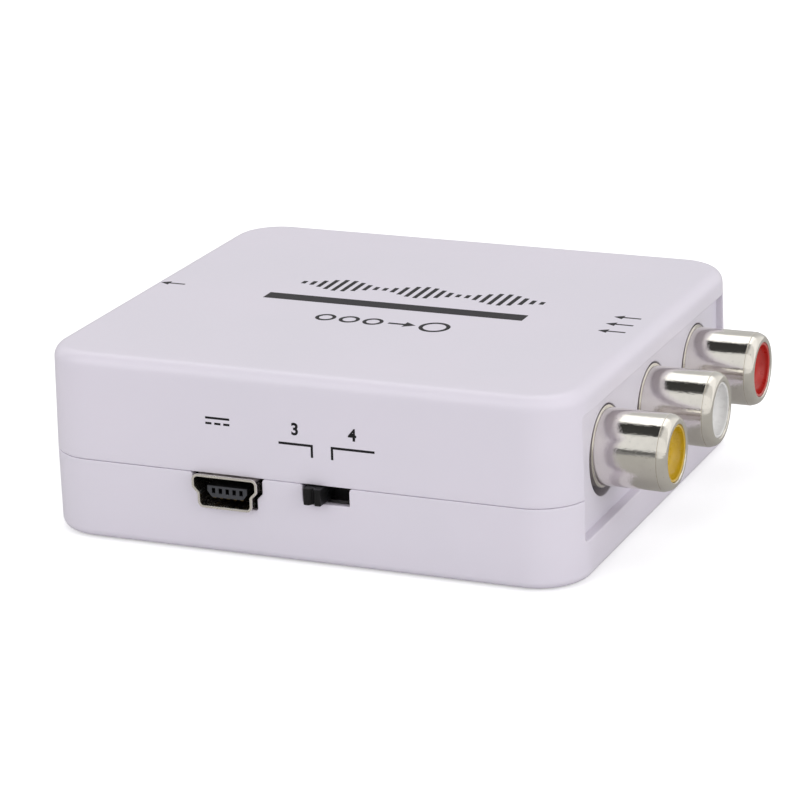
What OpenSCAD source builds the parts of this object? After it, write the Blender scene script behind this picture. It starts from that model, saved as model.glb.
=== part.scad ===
// Small box that puts audio and video onto a radio-frequency carrier, with all the pieces that it is put together from.
// The origin is at the middle of the case's underside. X runs to the input jacks, Y to the back and Z up.

/* [Case] */
// Width of the case, from the output side to the input side
case_w = 61; // [60:0.5:66]
// Depth of the case, from the front to the back
case_d = 55; // [54.5:0.5:62]
// Height of the case
case_h = 20.6; // [20.4:0.1:24]
// Height at which the bottom shell meets the top shell
parting_z = 8.9; // [8.9:0.05:9.1]
// Radius of the upright corners
corner_r = 5.8; // [5:0.1:7]
// Radius round the top face
top_edge_r = 1.5; // [0.6:0.1:2]
// Radius round the bottom face
bottom_edge_r = 1; // [0.4:0.1:1.5]
// Thickness of the shells' walls, floor and roof
wall_t = 1.8; // [1.5:0.05:1.85]
// Distance that the top shell's sides lean in by, up to where the rounding begins
top_taper = 0.18; // [0:0.02:0.3]
// Distance that the bottom shell's sides lean in by, down to where the rounding begins
bottom_taper = 0.04; // [0:0.02:0.2]

/* [Side panels] */
// Thickness of the side panels
panel_t = 2; // [1.6:0.1:2.2]
// Depth at which a panel stands in from the case's side
panel_recess = 1.15; // [0.9:0.05:1.3]
// Distance from the case's front or back to the end of the window over a panel
window_end = 4.4; // [4:0.1:5]
// Height of the window's lower edge
window_sill = 4.4; // [3.6:0.1:5]
// Drop from the top of the case to the window's upper edge
window_drop = 2.8; // [2.4:0.1:3.2]
// Width of a panel that is hidden behind each end of its window
panel_tuck = 1; // [0.6:0.1:1.2]
// Play of a panel in its pocket
panel_play = 0.1; // [0.05:0.05:0.2]
// Thickness of the ribs that hold a panel from inside
rib_t = 1; // [0.6:0.1:1.2]
// Width of a panel rib
rib_w = 4; // [2:0.5:5]
// Height of the ribs on the floor
floor_rib_h = 4.2; // [2:0.2:5]
// Length of the ribs under the roof
roof_rib_h = 3.3; // [2:0.1:4]

/* [Circuit board] */
// Thickness of the board
board_t = 1.6; // [1.2:0.2:1.6]
// Height of the posts that the board stands on
standoff_h = 1.95; // [1.8:0.05:2]
// Distance from the board's edge to what is beside it
board_gap = 0.3; // [0.2:0.1:0.5]
// Radius of the board's corners
board_corner_r = 2; // [1:0.5:3]
// Distance of a post from the board's side edge
post_inset_x = 3.3; // [3:0.1:3.6]
// Distance of a post from the board's front or back edge
post_inset_y = 2.5; // [2.4:0.1:2.6]
// Radius of a post and of the boss that comes down on it
post_r = 2.3; // [2:0.1:2.35]
// Radius of the peg on a post
peg_r = 1.4; // [1:0.1:1.6]
// Height of a peg above the board
peg_h = 3.1; // [2:0.1:3.5]
// Radial play of a peg in its boss
peg_play = 0.1; // [0.05:0.05:0.2]
// Gap between a boss and the board
boss_gap = 0.2; // [0.1:0.05:0.3]
// Depth of a leg or pin below the board
leg_drop = 1; // [0.6:0.1:1.3]
// Room round a leg or pin in the board
leg_play = 0.1; // [0.05:0.05:0.15]

/* [Shell lip] */
// Thickness of the lip inside the joint of the shells
lip_t = 0.8; // [0.6:0.1:1]
// Height of the lip above the joint
lip_h = 1.2; // [0.8:0.1:1.6]
// Depth of the lip's root below the joint
lip_root = 1.6; // [1:0.1:2]
// Gap between the lip and the top shell
lip_play = 0.1; // [0.05:0.05:0.2]
// Distance from the lip's end to the case's side
lip_end = 12.5; // [12:0.5:14]

/* [Input jacks] */
// Distance from the window's front end to the first jack's axis
first_jack_inset = 8.6; // [8.4:0.1:9]
// Distance from the window's back end to the last jack's axis
last_jack_inset = 7.8; // [7.6:0.1:8.4]
// Height of the jacks' axis above the middle of the window
jack_rise = 0.75; // [0.5:0.05:0.9]
// Radius of the barrels
barrel_r = 4.1; // [4:0.05:4.2]
// Length of the barrels outside their panel
barrel_reach = 7.9; // [7:0.1:9]
// Radius round a barrel's nose
nose_r = 0.9; // [0.5:0.1:0.95]
// Bore of a barrel
barrel_bore_r = 3.4; // [3.3:0.05:3.5]
// Radius of a barrel's mouth
mouth_r = 3.05; // [2.8:0.05:3.15]
// Thickness of the rolled rim round the mouth
rim_t = 0.8; // [0.5:0.1:1.2]
// Depth of a barrel in its housing
barrel_seat = 6; // [4:0.5:7]
// Radius of the panel's holes round the barrels
jack_hole_r = 5; // [4.8:0.05:5.2]
// Drop of those holes below the barrels' axis
jack_hole_drop = 0.4; // [0:0.05:0.5]
// Hole for a plug's pin in a coloured insert
pin_bore_r = 1.8; // [1.75:0.05:1.85]
// Depth of the funnel round that hole
funnel_d = 1.4; // [0.8:0.1:2]
// Radius of the funnel's mouth
funnel_r = 2.75; // [2.4:0.05:2.8]
// Depth of an insert's face inside the mouth
insert_set = 0.15; // [0.05:0.05:0.4]
// Outer radius of a spring contact
contact_r = 2; // [1.95:0.05:2.1]
// Inner radius of a spring contact
contact_bore_r = 1.5; // [1.45:0.05:1.55]
// Length of a spring contact's tube
contact_len = 10; // [8:0.5:10.5]
// Radius of a spring contact's stem
stem_r = 0.7; // [0.5:0.05:0.8]
// Depth of the jack housing
housing_d = 11; // [10:0.5:12]
// Distance from the back of the input panel to the housing
housing_setback = 2.75; // [2.4:0.05:3]
// Half width of the housing at each jack
jack_side = 4.9; // [4.6:0.1:4.9]
// Height of the housing above the jacks' axis
housing_rise = 4.9; // [4.8:0.1:5.6]
// Thickness of the ground tags
tag_t = 0.4; // [0.3:0.05:0.5]

/* [Power socket] */
// Place of the socket from the middle of the case
usb_x = -8.2; // [-8.6:0.1:-7.8]
// Width of the socket's wide upper part
usb_w = 7.4; // [7.2:0.1:7.7]
// Width of the socket's narrow lower part
usb_foot_w = 6.15; // [5.8:0.05:6.4]
// Height of the socket
usb_h = 3.5; // [3.4:0.02:3.5]
// Height at which the narrow part ends
usb_narrow_h = 1.5; // [1.3:0.05:1.6]
// Height at which the wide part begins
usb_wide_h = 2.15; // [1.9:0.05:2.3]
// Radius of the socket's corners
usb_corner_r = 0.45; // [0.3:0.05:0.5]
// Thickness of the socket's sheet metal
usb_sheet_t = 0.28; // [0.2:0.02:0.32]
// Length of the socket
usb_len = 8.2; // [7.5:0.1:9]
// Length of the socket outside the case
usb_reach = 0.7; // [0.3:0.1:1.2]
// Gap between the socket and the notch for it
usb_notch_gap = 0.35; // [0.3:0.05:0.6]
// Shift of that notch towards the switch
usb_notch_shift = 0.05; // [0:0.05:0.3]
// Width of the tongue
tongue_w = 4.6; // [4.4:0.1:4.8]
// Width of the tongue's lower side
tongue_foot_w = 3.6; // [3.4:0.1:4]
// Height of the tongue's lower side in the socket
tongue_rise = 0.95; // [0.8:0.05:1.1]
// Thickness of the tongue
tongue_t = 1.25; // [1:0.05:1.3]
// Distance between neighbouring contacts
usb_pitch = 0.8; // [0.7:0.05:0.8]

/* [Channel switch] */
// Place of the switch from the middle of the case
switch_x = 3.2; // [3.2:0.1:4.5]
// Travel of the switch's knob
travel = 2.3; // [1.8:0.1:2.4]
// Width of the knob
knob_w = 2; // [1.8:0.1:2.2]
// Length of the knob outside the case
knob_reach = 1.1; // [0.8:0.1:1.6]
// Depth of the groove down the knob's face
knob_groove = 0.4; // [0.2:0.1:0.5]
// Gap between the knob and each side of its slot
knob_gap = 0.1; // [0.05:0.05:0.15]
// Room left beside the knob at each end of its travel
slot_end_gap = 0.5; // [0.3:0.02:0.6]
// Height of the slot
slot_h = 2; // [1.8:0.05:2.05]
// Width of the switch's frame
frame_w = 8.7; // [8.4:0.1:9]
// Depth of the switch's frame
frame_d = 4.1; // [3.9:0.1:4.3]
// Height of the switch's frame
frame_h = 4.8; // [4.6:0.1:5]
// Thickness of the frame's sheet metal
frame_t = 0.3; // [0.2:0.05:0.35]
// Play of the carriage in its frame
carriage_play = 0.15; // [0.1:0.05:0.2]

/* [Aerial socket] */
// Radius of its thread
rf_thread_r = 4.76; // [4.7:0.01:4.8]
// Length of the thread outside its panel
rf_reach = 7; // [6:0.5:10]
// Radius of the flange against the shield
rf_flange_r = 5; // [4.9:0.02:5]
// Thickness of that flange
rf_flange_t = 1; // [0.8:0.1:1.2]
// Bore of the socket
rf_bore_r = 3.4; // [3.2:0.05:3.6]
// Radial gap between the thread and the hole in its panel
rf_hole_gap = 0.34; // [0.3:0.02:0.4]

/* [Modulator shield] */
// Length of the shield across the board
can_w = 18.6; // [18:0.1:19]
// Width of the shield from front to back
can_d = 26; // [24:0.5:28]
// Gap between the shield's lid and the roof
lid_headroom = 1.15; // [1:0.05:1.4]
// Thickness of the shield's sheet metal
can_t = 0.4; // [0.3:0.05:0.5]
// Distance from the back of the output panel to the shield
can_setback = 1.75; // [1.7:0.05:1.9]
// Depth of the lid's skirt
lid_skirt = 1.4; // [0.8:0.1:1.45]
// Gap between the lid's skirt and the shield
lid_gap = 0.05; // [0.05:0.05:0.1]

/* [Hidden] */

$fn = 64;
// Length that a cut runs past the faces that it opens
overrun = 0.5;
// Radial play between pieces that are pushed together
fit_gap = 0.05;

half_w = case_w / 2;
half_d = case_d / 2;
cavity_half_w = half_w - wall_t;
cavity_half_d = half_d - wall_t;
roof_z = case_h - wall_t;

panel_face_x = half_w - panel_recess;
panel_back_x = panel_face_x - panel_t;
window_half = half_d - window_end;
window_top = case_h - window_drop;
window_mid = (window_sill + window_top) / 2;
panel_half = window_half + panel_tuck;
rib_x1 = panel_back_x - panel_play;
rib_x0 = rib_x1 - rib_t;

board_z0 = wall_t + standoff_h;
board_top = board_z0 + board_t;
board_half_w = rib_x0 - board_gap;
board_half_d = cavity_half_d - board_gap;
post_x = board_half_w - post_inset_x;
post_y = board_half_d - post_inset_y;
leg_z0 = board_z0 - leg_drop;

jack_pitch = (2 * window_half - first_jack_inset - last_jack_inset) / 2;
jack_ys = [for (i = [0 : 2]) -window_half + first_jack_inset + i * jack_pitch];
jack_z = window_mid + jack_rise;
housing_x1 = panel_back_x - housing_setback;
housing_x0 = housing_x1 - housing_d;
housing_top = jack_z + housing_rise;
barrel_x0 = housing_x1 - barrel_seat;
barrel_end = panel_face_x + barrel_reach;
insert_face = barrel_end - insert_set;
// Step between a barrel and its collar, and the collar's length past the panel
collar_step = 0.25;
collar_reach = 0.08;
collar_end = panel_face_x + collar_reach;
insert_shoulder = barrel_end - rim_t - fit_gap;
// Wall behind a spring contact inside its insert
insert_back_t = 1.6;
insert_x0 = barrel_x0 + insert_back_t / 2;
contact_x0 = insert_x0 + insert_back_t;
contact_x1 = contact_x0 + contact_len;
// Width of the slots that make a contact springy, and of its leg
contact_slot_w = 0.5;
contact_leg_w = 1.2;
contact_leg_t = 0.5;
contact_leg_x1 = housing_x0 - fit_gap;
// Width of a ground tag's ring beyond the barrel, and width of its leg
tag_ring_w = 0.6;
tag_leg_w = 2;

usb_y0 = -half_d - usb_reach;
usb_y1 = usb_y0 + usb_len;
usb_notch_floor_gap = 0.05;
usb_lug_w = 1.2;
usb_lug_t = 0.35;
usb_lug_top = 1.1;
usb_lug_ys = [for (share = [0.5, 0.86]) usb_y0 + share * usb_len];
usb_block_d = 2;
usb_contact_w = 0.35;
usb_contact_t = 0.15;
usb_tail_t = 0.25;
usb_tongue_set = 0.7;
usb_contact_set = 0.2;

slot_z0 = parting_z - slot_h;
slot_half = (knob_w + travel) / 2 + slot_end_gap;
knob_z0 = slot_z0 + knob_gap;
knob_z1 = parting_z - knob_gap;
knob_rest_x = switch_x - travel / 2;
frame_y0 = -cavity_half_d + board_gap;
frame_y1 = frame_y0 + frame_d;
frame_z1 = board_top + frame_h;
// Amount by which the frame's slot is taller than the case's
frame_slot_rim = 0.2;
base_t = 1;
base_y0 = frame_y1 - base_t;
terminal_t = 0.2;
terminal_w = 1;
terminal_y0 = base_y0 - terminal_t;
wiper_t = 0.25;
wiper_y0 = terminal_y0 - wiper_t - carriage_play;
wiper_h = 1.4;
carriage_half = frame_w / 2 - frame_t - travel / 2 - carriage_play;
carriage_y0 = frame_y0 + frame_t + carriage_play;
terminal_xs = [for (i = [-1 : 1]) switch_x + i * travel];

can_x1 = panel_back_x - can_setback;
can_x0 = can_x1 - can_w;
can_z1 = roof_z - lid_headroom - can_t;
can_tab_w = 1.5;
can_tab_share = 0.6;
rf_z = window_mid;
rf_end = panel_face_x + rf_reach;
rf_flange_x = can_x1 + rf_flange_t;
rf_floor_t = 0.5;
rf_stub_r = 3;
rf_stub_len = 0.6;
rf_stem_hole_r = 1.3;
rf_stem_r = 0.45;
rf_pin_r = 0.95;
rf_pin_bore_r = 0.5;
rf_pin_hole_r = 0.65;
rf_funnel_d = 0.6;
rf_insulator_set = 0.8;
rf_pin_set = 2;
rf_stem_reach = 2;
rf_foot_t = 0.5;

// Middle of the open part of the board, between the shield and the jack housing
open_x = (housing_x0 - can_x0) / 2;

// A box between two opposite corners
module block(low, high) {
    translate(low) cube(high - low);
}

// A round bar along X
module rod_x(r, from, to) {
    translate([from, 0, 0]) rotate([0, 90, 0]) cylinder(r = r, h = to - from);
}

// A turned form along X, drawn with its radius across and its place along X upwards
module turned_x() {
    rotate([0, 90, 0]) rotate_extrude() children();
}

module rounded_rectangle(half_x, half_y, r) {
    square([2 * half_x, 2 * (half_y - r)], center = true);
    square([2 * (half_x - r), 2 * half_y], center = true);
    for (sx = [-1, 1], sy = [-1, 1]) translate([sx * (half_x - r), sy * (half_y - r)]) circle(r);
}

// Sector of a circle, between the directions to_a and to_b
module sector(r, to_a, to_b) {
    intersection() {
        circle(r);
        polygon([[0, 0], 2 * r * to_a, 2 * r * (to_a + to_b), 2 * r * to_b]);
    }
}

// Section of a shell's rim: a side that leans in by taper, and a rounded far edge
module edge_profile(rise, edge_r, taper) {
    centre = [corner_r - taper - edge_r, rise - edge_r];
    polygon([
        [0, 0], [corner_r, 0], centre + [edge_r, 0], centre, centre + [0, edge_r], [0, rise]
    ]);
    translate(centre) sector(edge_r, [1, 0], [0, 1]);
}

// A shell's outside, from the joint upwards: a core, with the rim's section carried round it
module shell_form(rise, edge_r, taper) {
    core_x = half_w - corner_r;
    core_y = half_d - corner_r;
    block([-core_x, -core_y, 0], [core_x, core_y, rise]);
    for (side = [0, 1]) mirror([side, 0, 0]) translate([core_x, 0, 0])
        rotate([90, 0, 0]) linear_extrude(2 * core_y, center = true) edge_profile(rise, edge_r, taper);
    for (end = [0, 1]) mirror([0, end, 0]) {
        translate([0, core_y, 0]) rotate([90, 0, 90]) linear_extrude(2 * core_x, center = true)
            edge_profile(rise, edge_r, taper);
        for (side = [0, 1]) mirror([side, 0, 0]) translate([core_x, core_y, 0])
            rotate_extrude(angle = 90) edge_profile(rise, edge_r, taper);
    }
}

module cavity() {
    translate([0, 0, wall_t]) linear_extrude(roof_z - wall_t)
        rounded_rectangle(cavity_half_w, cavity_half_d, corner_r - wall_t);
}

// Pockets that hold the side panels, and the windows over them
module panel_cuts() {
    pocket_half = panel_half + panel_play;
    for (side = [0, 1]) mirror([side, 0, 0]) {
        block([rib_x1, -pocket_half, wall_t], [panel_face_x, pocket_half, roof_z]);
        block([panel_face_x - overrun, -window_half, window_sill], [half_w + overrun, window_half, window_top]);
    }
}

// Ribs behind both side panels, between the jacks and clear of the aerial socket
module panel_ribs(z0, z1) {
    for (side = [0, 1]) mirror([side, 0, 0]) for (i = [-1, 1]) {
        middle = jack_ys[1] * (1 - side) + i * jack_pitch / 2;
        block([rib_x0, middle - rib_w / 2, z0], [rib_x1, middle + rib_w / 2, z1]);
    }
}

module at_posts() {
    for (sx = [-1, 1], sy = [-1, 1]) translate([sx * post_x, sy * post_y, 0]) children();
}

// One stretch of the lip, inside the front or the back wall
module lip(x0, x1, back) {
    mirror([0, 1 - back, 0]) {
        block([x0, cavity_half_d - lip_t, parting_z - lip_root], [x1, cavity_half_d, parting_z]);
        block([x0, cavity_half_d - lip_t, parting_z], [x1, cavity_half_d - lip_play, parting_z + lip_h]);
    }
}

// Section of the power socket: wide above, narrow below
module usb_section(grow) {
    wide = usb_w / 2 + grow;
    narrow = usb_foot_w / 2 + grow;
    polygon([
        [-narrow, -grow], [narrow, -grow], [narrow, usb_narrow_h - grow / 2], [wide, usb_wide_h - grow / 2],
        [wide, usb_h + grow], [-wide, usb_h + grow], [-wide, usb_wide_h - grow / 2], [-narrow, usb_narrow_h - grow / 2]
    ]);
}

module usb_round_section(grow) {
    offset(r = usb_corner_r) offset(delta = -usb_corner_r) usb_section(grow);
}

module along_y(y0, y1) {
    translate([0, y1, 0]) rotate([90, 0, 0]) linear_extrude(y1 - y0) children();
}

module top_shell() {
    color([0.85, 0.84, 0.88]) {
        difference() {
            translate([0, 0, parting_z]) shell_form(case_h - parting_z, top_edge_r, top_taper);
            cavity();
            panel_cuts();
        }
        panel_ribs(roof_z - roof_rib_h, roof_z);
        at_posts() difference() {
            translate([0, 0, board_top + boss_gap]) cylinder(r = post_r, h = roof_z - board_top - boss_gap);
            translate([0, 0, board_top]) cylinder(r = peg_r + peg_play, h = peg_h + overrun);
        }
    }
}

module bottom_shell() {
    usb_side = usb_x - usb_w / 2 - usb_notch_gap - lip_t;
    switch_side = switch_x + frame_w / 2 + lip_t;
    lip_x = half_w - lip_end;
    color([0.83, 0.82, 0.86]) {
        difference() {
            translate([0, 0, parting_z]) mirror([0, 0, 1]) shell_form(parting_z, bottom_edge_r, bottom_taper);
            cavity();
            panel_cuts();
            translate([usb_x + usb_notch_shift, 0, board_top])
                along_y(-half_d - overrun, -cavity_half_d + overrun) {
                    intersection() {
                        usb_section(usb_notch_gap);
                        translate([-usb_w, -usb_notch_floor_gap]) square([2 * usb_w, usb_h + usb_notch_gap]);
                    }
                }
            block([switch_x - slot_half, -half_d - overrun, slot_z0],
                  [switch_x + slot_half, -cavity_half_d + overrun, parting_z + overrun]);
        }
        panel_ribs(wall_t, wall_t + floor_rib_h);
        at_posts() {
            translate([0, 0, wall_t]) cylinder(r = post_r, h = standoff_h);
            translate([0, 0, board_z0]) cylinder(r = peg_r, h = board_t + peg_h);
        }
        lip(-lip_x, lip_x, 1);
        lip(-lip_x, usb_side, 0);
        lip(switch_side, lip_x, 0);
    }
}

module panel_plate() {
    block([panel_back_x, -panel_half, wall_t + panel_play], [panel_face_x, panel_half, roof_z - panel_play]);
}

module av_side_panel() {
    color([0.84, 0.83, 0.87]) difference() {
        panel_plate();
        for (y = jack_ys) translate([0, y, jack_z - jack_hole_drop])
            rod_x(jack_hole_r, panel_back_x - overrun, panel_face_x + overrun);
    }
}

module rf_side_panel() {
    color([0.84, 0.83, 0.87]) mirror([1, 0, 0]) difference() {
        panel_plate();
        translate([0, 0, rf_z])
            rod_x(rf_thread_r + rf_hole_gap, panel_back_x - overrun, panel_face_x + overrun);
    }
}

// Slot through the board, round a leg with this middle and these half sizes
module board_slot(x, y, half_x, half_y) {
    block([x - half_x - leg_play, y - half_y - leg_play, board_z0 - overrun],
          [x + half_x + leg_play, y + half_y + leg_play, board_top + overrun]);
}

module circuit_board() {
    color([0.1, 0.36, 0.2]) difference() {
        translate([0, 0, board_z0]) linear_extrude(board_t)
            rounded_rectangle(board_half_w, board_half_d, board_corner_r);
        at_posts() translate([0, 0, board_z0 - overrun])
            cylinder(r = peg_r + peg_play, h = board_t + 2 * overrun);
        for (y = jack_ys) {
            board_slot(contact_leg_x1 - contact_leg_t / 2, y, contact_leg_t / 2, contact_leg_w / 2);
            board_slot(housing_x1 + tag_t / 2, y, tag_t / 2, tag_leg_w / 2);
        }
        for (side = [-1, 1], y = usb_lug_ys)
            board_slot(usb_x + side * (usb_foot_w + usb_lug_t) / 2, y, usb_lug_t / 2, usb_lug_w / 2);
        for (x = terminal_xs) board_slot(x, terminal_y0 + terminal_t / 2, terminal_w / 2, terminal_t / 2);
        for (sx = [0, 1], sy = [-1, 1])
            board_slot(-can_x0 - can_t / 2 - sx * (can_w - can_t), sy * can_tab_share * can_d / 2,
                       can_t / 2, can_tab_w / 2);
        // Notch in the edge, beside the aerial socket's flange
        block([-board_half_w - overrun, -rf_flange_r - fit_gap, board_z0 - overrun],
              [-can_x1 + can_t / 2, rf_flange_r + fit_gap, board_top + overrun]);
    }
}

module jack_housing() {
    // Depth of the wall that joins the three towers, and drop of its top
    bridge_d = housing_d / 2;
    bridge_drop = housing_rise / 2;
    color([0.12, 0.12, 0.13]) difference() {
        union() {
            for (y = jack_ys)
                block([housing_x0, y - jack_side, board_top], [housing_x1, y + jack_side, housing_top]);
            block([housing_x0, jack_ys[0], board_top],
                  [housing_x0 + bridge_d, jack_ys[2], housing_top - bridge_drop]);
        }
        for (y = jack_ys) translate([0, y, jack_z]) {
            rod_x(barrel_r + collar_step + fit_gap, barrel_x0 - fit_gap, housing_x1 + overrun);
            rod_x(stem_r + fit_gap, housing_x0 - overrun, barrel_x0);
        }
    }
}

// Drawn tube, with a collar as far as the panel, a rounded nose and a rim round its mouth
module jack_barrel(y) {
    nose = [barrel_r - nose_r, barrel_end - nose_r];
    color([0.8, 0.78, 0.75]) translate([0, y, jack_z]) turned_x() difference() {
        union() {
            polygon([
                [0, barrel_x0], [barrel_r + collar_step, barrel_x0], [barrel_r + collar_step, collar_end],
                [barrel_r, collar_end], [barrel_r, nose[1]], nose, [nose[0], barrel_end], [0, barrel_end]
            ]);
            translate(nose) sector(nose_r, [1, 0], [0, 1]);
        }
        translate([0, barrel_x0 - overrun]) square([barrel_bore_r, barrel_end - rim_t - barrel_x0 + overrun]);
        translate([0, barrel_x0]) square([mouth_r, barrel_end - barrel_x0 + overrun]);
    }
}

// Coloured insulator in a barrel: a funnel, a hole for the plug's pin and a pocket for the contact
module jack_insert(y) {
    body_r = barrel_bore_r - fit_gap;
    neck_r = mouth_r - fit_gap;
    pocket_r = contact_r + fit_gap;
    hole_r = stem_r + fit_gap;
    pocket_end = contact_x1 + fit_gap;
    translate([0, y, jack_z]) turned_x() polygon([
        [hole_r, insert_x0], [body_r, insert_x0], [body_r, insert_shoulder], [neck_r, insert_shoulder],
        [neck_r, insert_face], [funnel_r, insert_face], [pin_bore_r, insert_face - funnel_d],
        [pin_bore_r, pocket_end], [pocket_r, pocket_end], [pocket_r, contact_x0], [hole_r, contact_x0]
    ]);
}

// Spring tube with a stem through the housing and a leg into the board
module jack_contact(y) {
    back = contact_r - contact_bore_r;
    slot_x0 = contact_x0 + contact_len / 3;
    color([0.78, 0.66, 0.36]) translate([0, y, 0]) {
        translate([0, 0, jack_z]) difference() {
            rod_x(contact_r, contact_x0, contact_x1);
            rod_x(contact_bore_r, contact_x0 + back, contact_x1 + overrun);
            block([slot_x0, -contact_r - overrun, -contact_slot_w / 2],
                  [contact_x1 + overrun, contact_r + overrun, contact_slot_w / 2]);
            block([slot_x0, -contact_slot_w / 2, -contact_r - overrun],
                  [contact_x1 + overrun, contact_slot_w / 2, contact_r + overrun]);
        }
        translate([0, 0, jack_z]) rod_x(stem_r, contact_leg_x1 - contact_leg_t / 2, contact_x0);
        block([contact_leg_x1 - contact_leg_t, -contact_leg_w / 2, leg_z0],
              [contact_leg_x1, contact_leg_w / 2, jack_z + contact_leg_w]);
    }
}

module jack_ground_tags() {
    ring_r = barrel_r + tag_ring_w;
    color([0.78, 0.77, 0.74]) for (y = jack_ys) translate([0, y, 0]) difference() {
        union() {
            translate([0, 0, jack_z]) rod_x(ring_r, housing_x1, housing_x1 + tag_t);
            block([housing_x1, -tag_leg_w / 2, leg_z0], [housing_x1 + tag_t, tag_leg_w / 2, jack_z]);
        }
        translate([0, 0, jack_z])
            rod_x(barrel_r + collar_step + fit_gap, housing_x1 - overrun, housing_x1 + tag_t + overrun);
    }
}

module usb_shell() {
    color([0.75, 0.74, 0.72]) translate([usb_x, 0, 0]) {
        translate([0, 0, board_top]) along_y(usb_y0, usb_y1) difference() {
            usb_round_section(0);
            usb_round_section(-usb_sheet_t);
        }
        for (side = [0, 1], y = usb_lug_ys) mirror([side, 0, 0])
            block([usb_foot_w / 2, y - usb_lug_w / 2, leg_z0],
                  [usb_foot_w / 2 + usb_lug_t, y + usb_lug_w / 2, board_top + usb_lug_top]);
    }
}

// Places of the power socket's contacts across the tongue
function usb_contact_xs() = [for (i = [-2 : 2]) i * usb_pitch];

module usb_insulator() {
    tongue_y0 = usb_y0 + usb_tongue_set;
    block_y0 = usb_y1 - usb_block_d;
    color([0.25, 0.25, 0.26]) translate([usb_x, 0, board_top]) {
        translate([0, 0, tongue_rise]) along_y(tongue_y0, block_y0) polygon([
            [-tongue_foot_w / 2, 0], [tongue_foot_w / 2, 0], [tongue_w / 2, tongue_t / 2],
            [tongue_w / 2, tongue_t], [-tongue_w / 2, tongue_t], [-tongue_w / 2, tongue_t / 2]
        ]);
        difference() {
            along_y(block_y0, usb_y1) usb_section(-usb_sheet_t - fit_gap - usb_corner_r / 3);
            for (x = usb_contact_xs())
                block([x - usb_contact_w / 2 - fit_gap, block_y0 - overrun, tongue_rise - usb_contact_t - fit_gap],
                      [x + usb_contact_w / 2 + fit_gap, usb_y1 + overrun, tongue_rise]);
        }
    }
}

module usb_contacts() {
    color([0.8, 0.68, 0.36]) translate([usb_x, 0, 0]) for (x = usb_contact_xs()) {
        block([x - usb_contact_w / 2, usb_y0 + usb_tongue_set + usb_contact_set,
               board_top + tongue_rise - usb_contact_t],
              [x + usb_contact_w / 2, usb_y1 + usb_tail_t, board_top + tongue_rise]);
        block([x - usb_contact_w / 2, usb_y1, board_top],
              [x + usb_contact_w / 2, usb_y1 + usb_tail_t, board_top + tongue_rise]);
    }
}

module switch_frame() {
    slot_side = slot_half + frame_slot_rim;
    color([0.74, 0.73, 0.7]) difference() {
        block([switch_x - frame_w / 2, frame_y0, board_top], [switch_x + frame_w / 2, frame_y1, frame_z1]);
        block([switch_x - frame_w / 2 + frame_t, frame_y0 + frame_t, board_top + frame_t],
              [switch_x + frame_w / 2 - frame_t, frame_y1 + overrun, frame_z1 - frame_t]);
        block([switch_x - slot_side, frame_y0 - overrun, slot_z0 - frame_slot_rim],
              [switch_x + slot_side, frame_y0 + frame_t + overrun, parting_z + frame_slot_rim]);
        block([switch_x - frame_w / 2 + frame_t, terminal_y0 - carriage_play, board_top - overrun],
              [switch_x + frame_w / 2 - frame_t, frame_y1 + overrun, board_top + frame_t + overrun]);
    }
}

module switch_base() {
    color([0.3, 0.17, 0.1])
        block([switch_x - frame_w / 2 + frame_t, base_y0, board_top + frame_t],
              [switch_x + frame_w / 2 - frame_t, frame_y1, frame_z1 - frame_t]);
}

module switch_terminals() {
    color([0.78, 0.66, 0.36]) for (x = terminal_xs)
        block([x - terminal_w / 2, terminal_y0, leg_z0],
              [x + terminal_w / 2, base_y0, (knob_z0 + knob_z1) / 2 + wiper_h / 2]);
}

// Carriage, stem and knob, with a groove down the knob's face
module switch_slider() {
    knob_y0 = -half_d - knob_reach;
    knob_half = knob_w / 2;
    bevel = knob_groove / 2;
    color([0.06, 0.06, 0.06]) {
        block([knob_rest_x - carriage_half, carriage_y0, board_top + frame_t + carriage_play],
              [knob_rest_x + carriage_half, wiper_y0, frame_z1 - frame_t - carriage_play]);
        translate([knob_rest_x, 0, knob_z0]) linear_extrude(knob_z1 - knob_z0) polygon([
            [-knob_half, carriage_y0], [-knob_half, knob_y0 + bevel], [-knob_half + bevel, knob_y0],
            [-knob_half / 3, knob_y0], [0, knob_y0 + knob_groove], [knob_half / 3, knob_y0],
            [knob_half - bevel, knob_y0], [knob_half, knob_y0 + bevel], [knob_half, carriage_y0]
        ]);
    }
}

// Springy bridge on the back of the carriage that joins two neighbouring terminals
module switch_wiper() {
    middle_z = (knob_z0 + knob_z1) / 2;
    reach = (travel + terminal_w) / 2;
    color([0.82, 0.7, 0.4])
        block([knob_rest_x - reach, wiper_y0, middle_z - wiper_h / 2],
              [knob_rest_x + reach, wiper_y0 + wiper_t, middle_z + wiper_h / 2]);
}

// The output side is the input side mirrored
module on_rf_axis() {
    mirror([1, 0, 0]) translate([0, 0, rf_z]) children();
}

module rf_socket_barrel() {
    color([0.8, 0.78, 0.74]) on_rf_axis() turned_x() difference() {
        union() {
            translate([0, can_x1]) square([rf_flange_r, rf_flange_t]);
            translate([0, can_x1]) square([rf_thread_r, rf_end - can_x1]);
            translate([0, can_x1 - can_t - rf_stub_len]) square([rf_stub_r, can_t + rf_stub_len + rf_flange_t]);
        }
        translate([0, rf_flange_x + rf_floor_t]) square([rf_bore_r, rf_end - rf_flange_x]);
        translate([0, can_x1 - can_t - rf_stub_len - overrun])
            square([rf_stem_hole_r, rf_end - can_x1 + can_t + rf_stub_len]);
    }
}

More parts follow.
